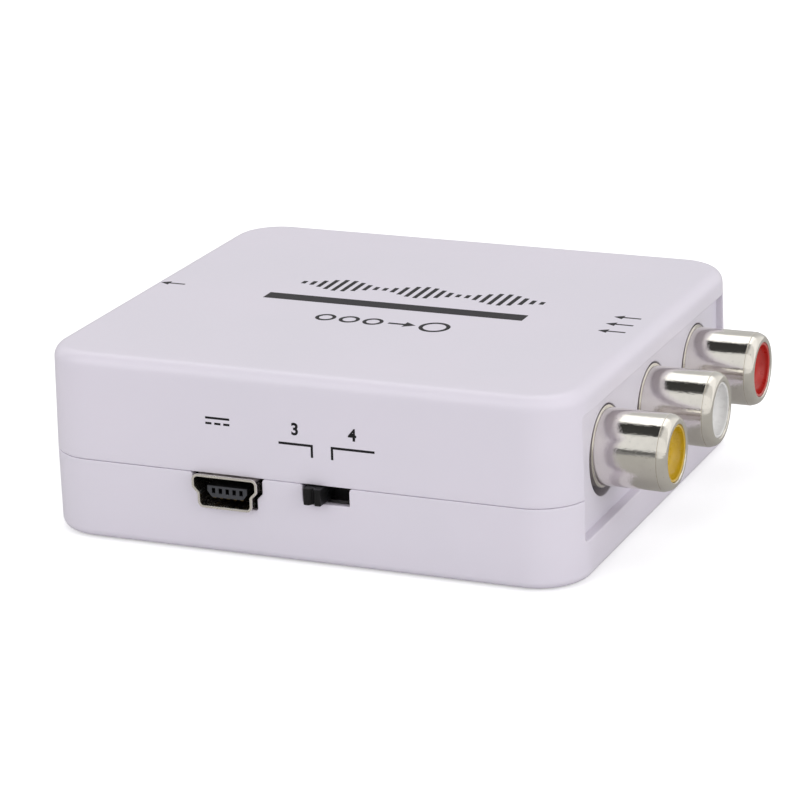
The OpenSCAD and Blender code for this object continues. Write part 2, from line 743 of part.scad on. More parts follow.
module rf_socket_insulator() {
    back = rf_flange_x + rf_floor_t + fit_gap;
    face = rf_end - rf_insulator_set;
    pin_end = rf_end - rf_pin_set;
    pocket_r = rf_pin_r + fit_gap;
    color([0.93, 0.93, 0.9]) on_rf_axis() turned_x() polygon([
        [pocket_r, back], [rf_bore_r - fit_gap, back], [rf_bore_r - fit_gap, face],
        [rf_pin_hole_r + rf_funnel_d, face], [rf_pin_hole_r, face - rf_funnel_d],
        [rf_pin_hole_r, pin_end + fit_gap], [pocket_r, pin_end + fit_gap]
    ]);
}

// Contact tube, with a stem through the shield's wall and a foot on the board
module rf_socket_contact() {
    tube_x0 = rf_flange_x + rf_floor_t + fit_gap;
    tube_x1 = rf_end - rf_pin_set;
    stem_x0 = can_x1 - can_t - rf_stub_len - rf_stem_reach;
    color([0.8, 0.68, 0.38]) {
        on_rf_axis() {
            difference() {
                rod_x(rf_pin_r, tube_x0, tube_x1);
                rod_x(rf_pin_bore_r, tube_x0 + rf_pin_r, tube_x1 + overrun);
            }
            rod_x(rf_stem_r, stem_x0, tube_x0);
        }
        mirror([1, 0, 0])
            block([stem_x0, -rf_stem_r, board_top], [stem_x0 + rf_foot_t, rf_stem_r, rf_z + rf_stem_r]);
    }
}

module modulator_shield() {
    color([0.78, 0.78, 0.76]) mirror([1, 0, 0]) difference() {
        union() {
            block([can_x0, -can_d / 2, board_top], [can_x1, can_d / 2, can_z1]);
            for (x = [can_x0, can_x1 - can_t], sy = [-1, 1])
                translate([x, sy * can_tab_share * can_d / 2 - can_tab_w / 2, leg_z0])
                    cube([can_t, can_tab_w, board_top - leg_z0]);
        }
        block([can_x0 + can_t, -can_d / 2 + can_t, board_top - overrun],
              [can_x1 - can_t, can_d / 2 - can_t, can_z1 + overrun]);
        translate([0, 0, rf_z]) rod_x(rf_stub_r + fit_gap, can_x1 - can_t - overrun, can_x1 + overrun);
    }
}

module shield_lid() {
    grow = lid_gap + can_t;
    color([0.8, 0.8, 0.78]) mirror([1, 0, 0]) difference() {
        block([can_x0 - grow, -can_d / 2 - grow, can_z1 - lid_skirt], [can_x1 + grow, can_d / 2 + grow, can_z1 + can_t]);
        block([can_x0 - lid_gap, -can_d / 2 - lid_gap, can_z1 - lid_skirt - overrun],
              [can_x1 + lid_gap, can_d / 2 + lid_gap, can_z1]);
        // Arc in the skirt round the aerial socket's flange
        translate([0, 0, rf_z]) rod_x(rf_flange_r + fit_gap, can_x1, rf_flange_x + overrun);
    }
}

// A box of this size that stands on the board, with its middle at x and y
module on_board(x, y, size) {
    translate([x - size[0] / 2, y - size[1] / 2, board_top]) cube(size);
}

chip_size = [4.4, 6.9, 1.5];
chip_rise = 0.15;
chip_leg = [1, 0.3, 0.4];
chip_leg_pitch = 0.65;
chip_legs_a_side = 10;
chip_x = -(can_x0 + can_x1) / 2 + chip_size[0] / 4;
chip_y = -can_d / 5;

module modulator_chip() {
    color([0.1, 0.1, 0.1]) translate([0, 0, chip_rise]) on_board(chip_x, chip_y, chip_size);
}

module modulator_chip_legs() {
    color([0.8, 0.8, 0.78]) for (side = [-1, 1], i = [0 : chip_legs_a_side - 1])
        on_board(chip_x + side * (chip_size[0] + chip_leg[0]) / 2,
                 chip_y + (i - (chip_legs_a_side - 1) / 2) * chip_leg_pitch, chip_leg);
}

coil_headroom = 3.4;
coil_size = [7, 7, can_z1 - coil_headroom - board_top];
coil_x = -(can_x0 + can_x1) / 2 + coil_size[0] / 4;
coil_y = can_d / 4;
slug_r = 2;
slug_d = 4;

module tuning_coil_can() {
    color([0.75, 0.75, 0.73]) difference() {
        on_board(coil_x, coil_y, coil_size);
        translate([coil_x, coil_y, board_top + coil_size[2] - slug_d - fit_gap])
            cylinder(r = slug_r + fit_gap, h = slug_d + overrun);
    }
}

// Screwed core with a slot for a trimming tool
module tuning_slug() {
    slot_t = slug_r / 3;
    color([0.25, 0.22, 0.22]) translate([coil_x, coil_y, board_top + coil_size[2] - slug_d]) difference() {
        cylinder(r = slug_r, h = slug_d - slot_t);
        translate([-slug_r - overrun, -slot_t / 2, slug_d - 3 * slot_t])
            cube([2 * (slug_r + overrun), slot_t, 3 * slot_t]);
    }
}

crystal_size = [4.7, 11.2, 3.6];

module crystal() {
    color([0.76, 0.76, 0.74]) translate([open_x, board_half_d / 7, board_top])
        linear_extrude(crystal_size[2])
            rounded_rectangle(crystal_size[0] / 2, crystal_size[1] / 2, crystal_size[0] / 2 - fit_gap);
}

capacitor_r = 2.5;
capacitor_h = 4.6;
capacitor_base = [5.3, 5.3, 0.8];
capacitor_pitch = 6;
capacitor_y = board_half_d * 0.7;

module at_capacitors() {
    for (i = [-1 : 1]) translate([open_x + i * capacitor_pitch, capacitor_y, board_top]) children();
}

module capacitor_cans() {
    color([0.78, 0.78, 0.8]) at_capacitors()
        translate([0, 0, capacitor_base[2]]) cylinder(r = capacitor_r, h = capacitor_h);
}

module capacitor_bases() {
    color([0.12, 0.12, 0.12]) at_capacitors()
        translate([-capacitor_base[0] / 2, -capacitor_base[1] / 2, 0]) cube(capacitor_base);
}

regulator_size = [6.5, 3.5, 1.6];
regulator_x = open_x - regulator_size[0] / 2;
regulator_y = -board_half_d * 0.58;
regulator_tab = [3, 1.7, 0.3];
regulator_leg_w = 0.7;
regulator_pitch = 2.3;

module voltage_regulator() {
    color([0.1, 0.1, 0.1]) on_board(regulator_x, regulator_y, regulator_size);
}

module regulator_leads() {
    reach = (regulator_size[1] + regulator_tab[1]) / 2;
    color([0.8, 0.8, 0.78]) {
        on_board(regulator_x, regulator_y + reach, regulator_tab);
        for (i = [-1 : 1])
            on_board(regulator_x + i * regulator_pitch, regulator_y - reach,
                     [regulator_leg_w, regulator_tab[1], regulator_tab[2]]);
    }
}

inductor_r = 2.6;
inductor_h = 2.4;

module power_inductor() {
    color([0.2, 0.2, 0.22]) translate([open_x + 2 * inductor_r, regulator_y, board_top])
        cylinder(r = inductor_r, h = inductor_h);
}

small_pitch = 3.2;
transistor_size = [2.9, 1.3, 1];
resistor_size = [2, 1.25, 0.5];
small_capacitor_size = [2, 1.25, 0.9];
// Free strip beside the crystal, on either side
strip_x = (crystal_size[0] + resistor_size[0]) / 2 + small_pitch / 2;

module transistors() {
    color([0.1, 0.1, 0.1]) for (i = [-1 : 1])
        on_board(open_x + i * (transistor_size[0] + small_pitch / 2), -board_half_d / 4, transistor_size);
}

module chip_resistors() {
    color([0.13, 0.13, 0.15]) for (i = [0 : 4])
        on_board(open_x - strip_x, (i - 1) * small_pitch, resistor_size);
}

module chip_capacitors() {
    color([0.65, 0.52, 0.4]) for (i = [0 : 4])
        on_board(open_x + strip_x, (i - 1) * small_pitch, small_capacitor_size);
}

top_shell();
bottom_shell();
av_side_panel();
rf_side_panel();
circuit_board();
jack_housing();
jack_barrel(jack_ys[0]);  // yellow_jack_barrel
jack_barrel(jack_ys[1]);  // white_jack_barrel
jack_barrel(jack_ys[2]);  // red_jack_barrel
color([0.85, 0.65, 0.1]) jack_insert(jack_ys[0]);  // yellow_jack_insert
color([0.92, 0.92, 0.9]) jack_insert(jack_ys[1]);  // white_jack_insert
color([0.75, 0.1, 0.08]) jack_insert(jack_ys[2]);  // red_jack_insert
jack_contact(jack_ys[0]);  // yellow_jack_contact
jack_contact(jack_ys[1]);  // white_jack_contact
jack_contact(jack_ys[2]);  // red_jack_contact
jack_ground_tags();
usb_shell();
usb_insulator();
usb_contacts();
switch_frame();
switch_base();
switch_terminals();
switch_slider();
switch_wiper();
rf_socket_barrel();
rf_socket_insulator();
rf_socket_contact();
modulator_shield();
shield_lid();
modulator_chip();
modulator_chip_legs();
tuning_coil_can();
tuning_slug();
crystal();
capacitor_cans();
capacitor_bases();
voltage_regulator();
regulator_leads();
power_inductor();
transistors();
chip_resistors();
chip_capacitors();
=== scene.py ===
"""Small white box that puts audio and video onto a radio-frequency carrier: its shells, panels, jacks,
sockets, switch knob, prints and finishes, built round the solids of its construction frame."""

from types import SimpleNamespace

import bmesh
import bpy
import numpy as np
from bpy.props import FloatProperty, FloatVectorProperty, IntProperty, PointerProperty, StringProperty
from mathutils import Matrix, Vector


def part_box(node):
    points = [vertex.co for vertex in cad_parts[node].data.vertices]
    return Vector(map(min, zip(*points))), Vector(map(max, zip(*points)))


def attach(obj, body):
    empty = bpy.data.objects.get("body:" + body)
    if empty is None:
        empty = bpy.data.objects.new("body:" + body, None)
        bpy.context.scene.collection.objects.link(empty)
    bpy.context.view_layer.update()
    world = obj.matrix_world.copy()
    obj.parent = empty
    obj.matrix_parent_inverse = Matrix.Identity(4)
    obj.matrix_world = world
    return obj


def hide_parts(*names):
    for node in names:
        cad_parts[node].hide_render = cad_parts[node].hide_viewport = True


bl_info = {
    "name": "Radio Frequency Modulator Box",
    "version": (1, 0, 0),
    "blender": (4, 5, 0),
    "location": "View3D > Sidebar > Modulator",
    "description": "Builds a small white modulator box with its jacks, sockets and channel switch",
    "category": "Add Mesh",
}

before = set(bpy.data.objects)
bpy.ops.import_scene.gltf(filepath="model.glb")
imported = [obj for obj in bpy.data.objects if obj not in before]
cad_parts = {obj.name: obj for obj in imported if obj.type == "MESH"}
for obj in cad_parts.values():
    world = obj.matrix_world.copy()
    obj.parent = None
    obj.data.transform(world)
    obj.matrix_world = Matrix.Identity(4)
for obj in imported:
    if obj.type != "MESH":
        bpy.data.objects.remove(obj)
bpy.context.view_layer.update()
MM = 0.001
TINTS = ("yellow", "white", "red")
# Points closer than this, in metres, are welded, and edges that bend by more than this angle look sharp
WELD = 2e-7
SHARP_ANGLE = 0.7
# Slack, in millimetres, where two places are compared
TINY = 1e-6


def lowest(node):
    return np.array(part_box(node)[0]) / MM


def highest(node):
    return np.array(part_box(node)[1]) / MM


def middle(node):
    return (lowest(node) + highest(node)) / 2


def length(name, description, default_mm, low=0.0, high=100.0):
    """A size in metres, given here in millimetres."""
    return FloatProperty(name=name, description=description, default=default_mm * MM, min=low * MM,
                         max=high * MM, unit="LENGTH", precision=5)


def colour(name, description, default):
    return FloatVectorProperty(name=name, description=description, default=default, subtype="COLOR",
                               size=3, min=0.0, max=1.0)


class CaseSizes(bpy.types.PropertyGroup):
    """Sizes of the two shells, as the frame has them."""

    corner: length("Corner radius", "Radius of the upright corners", 5.8)
    top_edge: length("Top edge", "Radius round the top face", 1.5)
    top_lean: length("Top lean", "Distance that the top shell's sides lean in by", 0.18)
    bottom_edge: length("Bottom edge", "Radius round the bottom face", 1.0)
    bottom_lean: length("Bottom lean", "Distance that the bottom shell's sides lean in by", 0.04)
    wall: length("Wall", "Thickness of the shells", 1.8)
    seam_gap: length("Seam gap", "Gap between the shells at their joint", 0.055)
    seam_round: length("Seam rounding", "Radius along the edges of the joint", 0.11)
    window_end: length("Window end", "Distance from the front or back to the end of a side window", 4.4)
    window_sill: length("Window sill", "Height of a side window's lower edge", 4.4)
    window_drop: length("Window drop", "Drop from the top to a side window's upper edge", 2.8)
    window_round: length("Window rounding", "Radius along the edges of the side windows", 0.22)
    notch_round: length("Notch rounding", "Radius along the edges of the front notches", 0.1)
    notch_gap: length("Notch gap", "Gap between the power socket and its notch", 0.35)
    notch_shift: length("Notch shift", "Shift of that notch towards the switch", 0.05)
    slot_half: length("Slot half width", "Half width of the switch's slot", 2.65)
    notch_corner: length("Notch corner", "Radius where a notch meets the joint", 0.4)
    slot_height: length("Slot height", "Height of the switch's slot", 2.0)
    print_thickness: length("Print thickness", "Thickness of the printed marks", 0.012)


class JackSizes(bpy.types.PropertyGroup):
    """Sizes of the phono jacks."""

    barrel: length("Barrel radius", "Radius of a barrel outside the case", 4.1)
    nose: length("Nose", "Length of the rounded band at a barrel's end", 0.95)
    mouth: length("Mouth radius", "Radius of a barrel's mouth", 3.05)
    bore: length("Bore radius", "Radius of a barrel's bore behind its rim", 3.4)
    hole: length("Panel hole radius", "Radius of the panel's hole round a barrel", 4.87)
    hole_shift: length("Panel hole shift", "Shift of that hole towards the back", 0.08)
    hole_drop: length("Panel hole drop", "Drop of that hole below the barrel's axis", 0.4)
    funnel: length("Funnel radius", "Radius of the funnel in a coloured insert", 2.75)
    funnel_depth: length("Funnel depth", "Depth of the funnel", 1.4)
    pin: length("Pin hole radius", "Radius of the hole for a plug's pin", 1.8)
    steps: IntProperty(name="Steps", description="Steps round a turned form", default=128, min=16, max=256)


class SocketSizes(bpy.types.PropertyGroup):
    """Sizes of the power socket, the channel knob and the aerial socket."""

    wide: length("Wide part", "Width of the power socket's upper part", 7.4)
    narrow: length("Narrow part", "Width of the power socket's lower part", 6.15)
    narrow_top: length("Narrow top", "Height at which the narrow part ends", 1.5)
    wide_bottom: length("Wide bottom", "Height at which the wide part begins", 2.15)
    height: length("Height", "Height of the power socket", 3.5)
    sheet: length("Sheet", "Thickness of its sheet metal", 0.28)
    corner: length("Corner", "Radius of its corners", 0.6)
    lug: length("Lug width", "Width of its lugs", 1.2)
    contact_pitch: length("Contact pitch", "Distance between neighbouring contacts", 0.8)
    slot_width: length("Slot width", "Width of a contact's slot in the tongue", 0.42)
    groove: length("Knob groove", "Depth of the groove down the knob's face", 0.42)
    thread_pitch: length("Thread pitch", "Distance between the aerial socket's threads", 0.79375)
    thread_depth: length("Thread depth", "Depth of the aerial socket's threads", 0.42)
    aerial_bore: length("Aerial bore", "Radius of the aerial socket's bore", 3.4)


class Colours(bpy.types.PropertyGroup):
    """Colours of the finishes."""

    case: colour("Case", "Moulded plastic of the shells", (0.725, 0.69, 0.77))
    panel: colour("Panels", "Moulded plastic of the side panels", (0.72, 0.69, 0.77))
    nickel: colour("Nickel", "Nickel plating of the barrels and sockets", (0.83, 0.80, 0.75))
    tin: colour("Tin", "Tinned sheet metal", (0.62, 0.62, 0.6))
    brass: colour("Contacts", "Plated contact metal", (0.65, 0.46, 0.18))
    yellow: colour("Yellow", "Yellow insert", (0.62, 0.40, 0.012))
    white: colour("White", "White insert", (0.78, 0.77, 0.76))
    red: colour("Red", "Red insert", (0.52, 0.018, 0.012))
    black: colour("Black", "Black mouldings", (0.009, 0.009, 0.0095))
    grey: colour("Grey", "Tongue of the power socket", (0.06, 0.062, 0.07))
    brown: colour("Brown", "Pressed laminate of the switch's base", (0.085, 0.032, 0.018))
    green: colour("Green", "Lacquer of the circuit board", (0.01, 0.09, 0.035))
    waxy: colour("Waxy white", "Insulator of the aerial socket", (0.78, 0.77, 0.72))
    ink: colour("Ink", "Printed marks", (0.014, 0.013, 0.015))
    bar: colour("Bar ink", "Printed bar on the top", (0.022, 0.02, 0.024))


class ModulatorSettings(bpy.types.PropertyGroup):
    """Everything that a user would change."""

    case: PointerProperty(type=CaseSizes, name="Case", description="Sizes of the shells")
    jacks: PointerProperty(type=JackSizes, name="Jacks", description="Sizes of the phono jacks")
    sockets: PointerProperty(type=SocketSizes, name="Sockets",
                             description="Sizes of the power socket, the knob and the aerial socket")
    colours: PointerProperty(type=Colours, name="Colours", description="Colours of the finishes")
    left_number: StringProperty(name="Left number", default="3",
                                description="Number over the switch's left stop")
    right_number: StringProperty(name="Right number", default="4",
                                 description="Number over the switch's right stop")


def in_mm(group):
    """The lengths of a group of settings, in millimetres."""
    return SimpleNamespace(**{name: getattr(group, name) / MM for name in group.__annotations__})


def placed(name, data):
    """A new object in the scene."""
    item = bpy.data.objects.new(name, data)
    bpy.context.scene.collection.objects.link(item)
    return item


class Skin:
    """Patches of one closed surface, in millimetres, welded where their edges meet."""

    def __init__(self):
        self.points, self.quads, self.plates = [], [], []
        self.count = 0

    def _add(self, points):
        start = self.count
        self.points.append(points)
        self.count += len(points)
        return start

    def grid(self, points, keep=None, wrap=False):
        """Four-sided faces between neighbouring rows and columns of points, or only in the cells of keep."""
        rows, columns = points.shape[:2]
        index = np.arange(rows * columns).reshape(rows, columns) + self._add(points.reshape(-1, 3))
        if wrap:
            index = np.concatenate([index, index[:, :1]], axis=1)
        cells = np.stack([index[:-1, :-1], index[:-1, 1:], index[1:, 1:], index[1:, :-1]], axis=-1)
        self.quads.append(cells.reshape(-1, 4) if keep is None else cells[keep])

    def plate(self, points):
        """One flat face with these corners."""
        start = self._add(np.asarray(points, float))
        self.plates.append(list(range(start, start + len(points))))

    def tube(self, rows, keep=None):
        """Closed rows of points, with a flat face over the first and over the last."""
        self.grid(rows, keep, wrap=True)
        self.plate(rows[0])
        self.plate(rows[-1])

    def build(self, name):
        """The mesh, welded, with its faces pointing outwards, and shaded smooth but for its sharp edges."""
        mesh = bpy.data.meshes.new(name)
        quads = np.concatenate(self.quads).tolist() if self.quads else []
        mesh.from_pydata((np.concatenate(self.points) * MM).tolist(), [], quads + self.plates)
        work = bmesh.new()
        work.from_mesh(mesh)
        bmesh.ops.remove_doubles(work, verts=work.verts, dist=WELD)
        bmesh.ops.dissolve_degenerate(work, edges=work.edges, dist=WELD / 2)
        bmesh.ops.recalc_face_normals(work, faces=work.faces)
        work.to_mesh(mesh)
        work.free()
        mesh.shade_smooth()
        mesh.set_sharp_from_angle(angle=SHARP_ANGLE)
        return mesh


def put(name, shape, body, material, nodes=()):
    """A finished piece from a skin or a mesh: an object at the origin that rides on its body."""
    mesh = shape.build(name) if isinstance(shape, Skin) else shape
    piece = placed(name, mesh)
    mesh.materials.clear()
    mesh.materials.append(material)
    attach(piece, body)
    if nodes:
        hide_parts(*nodes)
    return piece


def quarter(radius, steps=6):
    """A rounded edge of this radius, as rows of (distance still to go, depth): r (1 - sin t) and
    r (1 - cos t) for t from 0 to 90 degrees."""
    t = np.radians(np.linspace(0, 90, steps))
    return list(zip(radius * (1 - np.sin(t)), radius * (1 - np.cos(t))))


def strip(first, second):
    """Two rows of points for a grid. A row has x, y and z, and each may be one number for the whole row."""
    return np.stack([np.stack(np.broadcast_arrays(*row), axis=-1) for row in (first, second)])


def turned(profile, steps, axis_y, axis_z):
    """A profile of (place along X, radius), carried once round an axis along X.
    Each point is x, y + r cos a, z + r sin a, for the angles a of a full turn."""
    profile = np.asarray(profile, float)
    angle = np.linspace(0, 2 * np.pi, steps, endpoint=False)
    x = np.repeat(profile[:, :1], steps, axis=1)
    y = axis_y + profile[:, 1:] * np.cos(angle)
    z = axis_z + profile[:, 1:] * np.sin(angle)
    return np.stack([x, y, z], axis=-1)


def arc(centre, radius, start, end, steps):
    """Points of an arc, centre + r (cos t, sin t), for t between two angles in degrees. A pair of radii has
    one for each way."""
    t = np.radians(np.linspace(start, end, steps))
    return np.asarray(centre) + np.asarray(radius) * np.stack([np.cos(t), np.sin(t)], axis=1)


def rounded_outline(corners, radii, steps):
    """A closed outline with an arc in place of each corner: the arc touches both sides at
    radius / tan(half the angle between them), and its points turn evenly about its centre."""
    parts = []
    for i, corner in enumerate(corners):
        before = np.subtract(corners[i - 1], corner)
        after = np.subtract(corners[(i + 1) % len(corners)], corner)
        before, after = before / np.linalg.norm(before), after / np.linalg.norm(after)
        half = np.arccos(np.clip(before @ after, -1, 1)) / 2
        middle = (before + after) / np.linalg.norm(before + after)
        centre = corner + middle * radii[i] / np.sin(half)
        start = corner + before * radii[i] / np.tan(half) - centre
        end = corner + after * radii[i] / np.tan(half) - centre
        t = np.linspace(0, 1, steps)[:, None]
        sweep = np.pi - 2 * half
        ray = (np.sin((1 - t) * sweep) * start + np.sin(t * sweep) * end) / np.sin(sweep)
        parts.append(centre + ray)
    return np.concatenate(parts)


def outline_normals(outline):
    """Unit vectors square to a closed outline that runs anticlockwise, pointing out of it."""
    along = np.roll(outline, -1, axis=0) - np.roll(outline, 1, axis=0)
    square = np.stack([along[:, 1], -along[:, 0]], axis=1)
    return square / np.linalg.norm(square, axis=1, keepdims=True)


def grown(outline, steps, axis):
    """Copies of a flat outline. Each step has an amount, by which the outline grows along its normals, and
    the place along the axis where it stands."""
    normals = outline_normals(outline)
    return np.array([np.insert(outline + normals * grow, axis, place, axis=1) for grow, place in steps])


def box_outline(x0, y0, x1, y1):
    """The corners of a rectangle, anticlockwise."""
    return [[x0, y0], [x1, y0], [x1, y1], [x0, y1]]


def rounded_block(skin, low, high, radius):
    """A block with rounded upright edges, whose rims above and below are drawn in."""
    corners = box_outline(low[0], low[1], high[0], high[1])
    rim = radius * 0.6
    steps = [(-rim, low[2]), (0, low[2] + rim), (0, high[2] - rim), (-rim, high[2])]
    skin.tube(grown(rounded_outline(corners, [radius] * 4, 4), steps, 2))


# Case

# How far the cells that a hole takes out reach beyond a window's and a notch's edge
WINDOW_MARGIN = 0.7
NOTCH_MARGIN = 0.75
# Distances of the rows beside and below a rounded edge, so that the faces next to it are shaded flat
EDGE_BESIDE = 0.08
EDGE_BELOW = 0.1
WINDOW_CORNER = 0.35
# How far a window's lining runs past the panel's face
PANEL_GAP = 0.05
USB_NOTCH_CORNER = 0.3
SLOT_CORNER = 0.15
# The power socket's notch: the gap under and over the socket, and how far its waist lies below the socket's
USB_GAP = 0.05
WAIST_DROP = 0.25
# The wall inside a notch or slot, which is wider in its inner half: distances from the outline, and depths as
# shares of the wall's thickness
NOTCH_WALL = ((0.0, 0.45), (0.03, 0.47), (0.4, 0.5), (0.4, 1.0))
# Columns of points on a side, on the front or back, across a notch, and in a corner's ends and middle
SIDE_COLUMNS, FRONT_COLUMNS, NOTCH_COLUMNS = 15, 17, 41
CORNER_END_COLUMNS, CORNER_COLUMNS = 5, 13
# The least gap between a notch's columns and the front's own
COLUMN_GAP = 0.4
# Rows of the section: how near the flat faces come to the plan's core, the bevel inside, across and down, and
# the distance of the row beside the outer edge
CORE_GAP = 0.2
INNER_BEVEL = (0.5, 0.3)
FLAT_SUPPORT = 0.4


class CaseForm:
    """Plan of the case, in millimetres: straight sides joined by quarter circles. A point at inset q is its
    core point plus its direction times (corner radius - q)."""

    def __init__(self, settings):
        self.s = s = in_mm(settings.case)
        socket = in_mm(settings.sockets)
        low, high = lowest("bottom_shell"), highest("bottom_shell")
        self.half_w, self.half_d = (high[0] - low[0]) / 2, (high[1] - low[1]) / 2
        self.top = highest("top_shell")[2]
        self.seam = highest("usb_shell")[2] + USB_GAP
        self.core_x, self.core_y = self.half_w - s.corner, self.half_d - s.corner
        self.window_half = self.half_d - s.window_end
        self.window_top = self.top - s.window_drop
        board = highest("circuit_board")[2]
        self.usb_middle = middle("usb_shell")[0] + s.notch_shift
        self.usb_floor = board - USB_GAP
        self.usb_half, self.usb_foot_half = socket.wide / 2 + s.notch_gap, socket.narrow / 2 + s.notch_gap
        self.usb_waist = board + socket.narrow_top - WAIST_DROP, board + socket.wide_bottom - WAIST_DROP
        self.switch_middle = middle("switch_frame")[0]
        self.slot_floor = self.seam - s.slot_height
        self.stations()

    def stations(self):
        """Columns round the plan: core points and directions, from the middle of the back, anticlockwise.
        They stand closer at the corners and across the notches."""
        x, y = self.core_x, self.core_y
        edge = np.degrees(np.arcsin((self.window_half + WINDOW_MARGIN - y) / self.s.corner))
        turn = np.concatenate([
            np.linspace(0, edge, CORNER_END_COLUMNS), np.linspace(edge, 90 - edge, CORNER_COLUMNS)[1:-1],
            np.linspace(90 - edge, 90, CORNER_END_COLUMNS)
        ])[1:-1]
        side, front = np.linspace(-y, y, SIDE_COLUMNS), np.linspace(-x, x, FRONT_COLUMNS)
        back, start = front[::-1], FRONT_COLUMNS // 2
        for centre, half in ((self.usb_middle, self.usb_half), (self.switch_middle, self.s.slot_half)):
            low, high = centre - half - NOTCH_MARGIN, centre + half + NOTCH_MARGIN
            front = front[(front < low - COLUMN_GAP) | (front > high + COLUMN_GAP)]
            front = np.concatenate([front, np.linspace(low, high, NOTCH_COLUMNS)])
        core, way = [], []

        def add(xs, ys, directions):
            points = np.stack(np.broadcast_arrays(xs, ys), axis=-1)
            core.append(points)
            way.append(np.broadcast_to(directions, points.shape))

        for xs, ys, direction, corner_x, corner_y, heading in (
            (back[start:], y, (0.0, 1.0), -x, y, 90), (-x, side[::-1], (-1.0, 0.0), -x, -y, 180),
            (np.sort(front), -y, (0.0, -1.0), x, -y, 270), (x, side, (1.0, 0.0), x, y, 0)
        ):
            add(xs, ys, direction)
            angle = np.radians(heading + turn)
            directions = np.stack([np.cos(angle), np.sin(angle)], axis=1)
            add(np.full(len(angle), corner_x), corner_y, directions)
        add(back[:start], y, (0.0, 1.0))
        self.core, self.way = np.concatenate(core).astype(float), np.concatenate(way)
        self.plan = self.core + self.way * self.s.corner

    def top_lean(self, height):
        """How far the top shell's sides lean in at a height."""
        return self.s.top_lean * (height - self.seam) / (self.top - self.s.top_edge - self.seam)


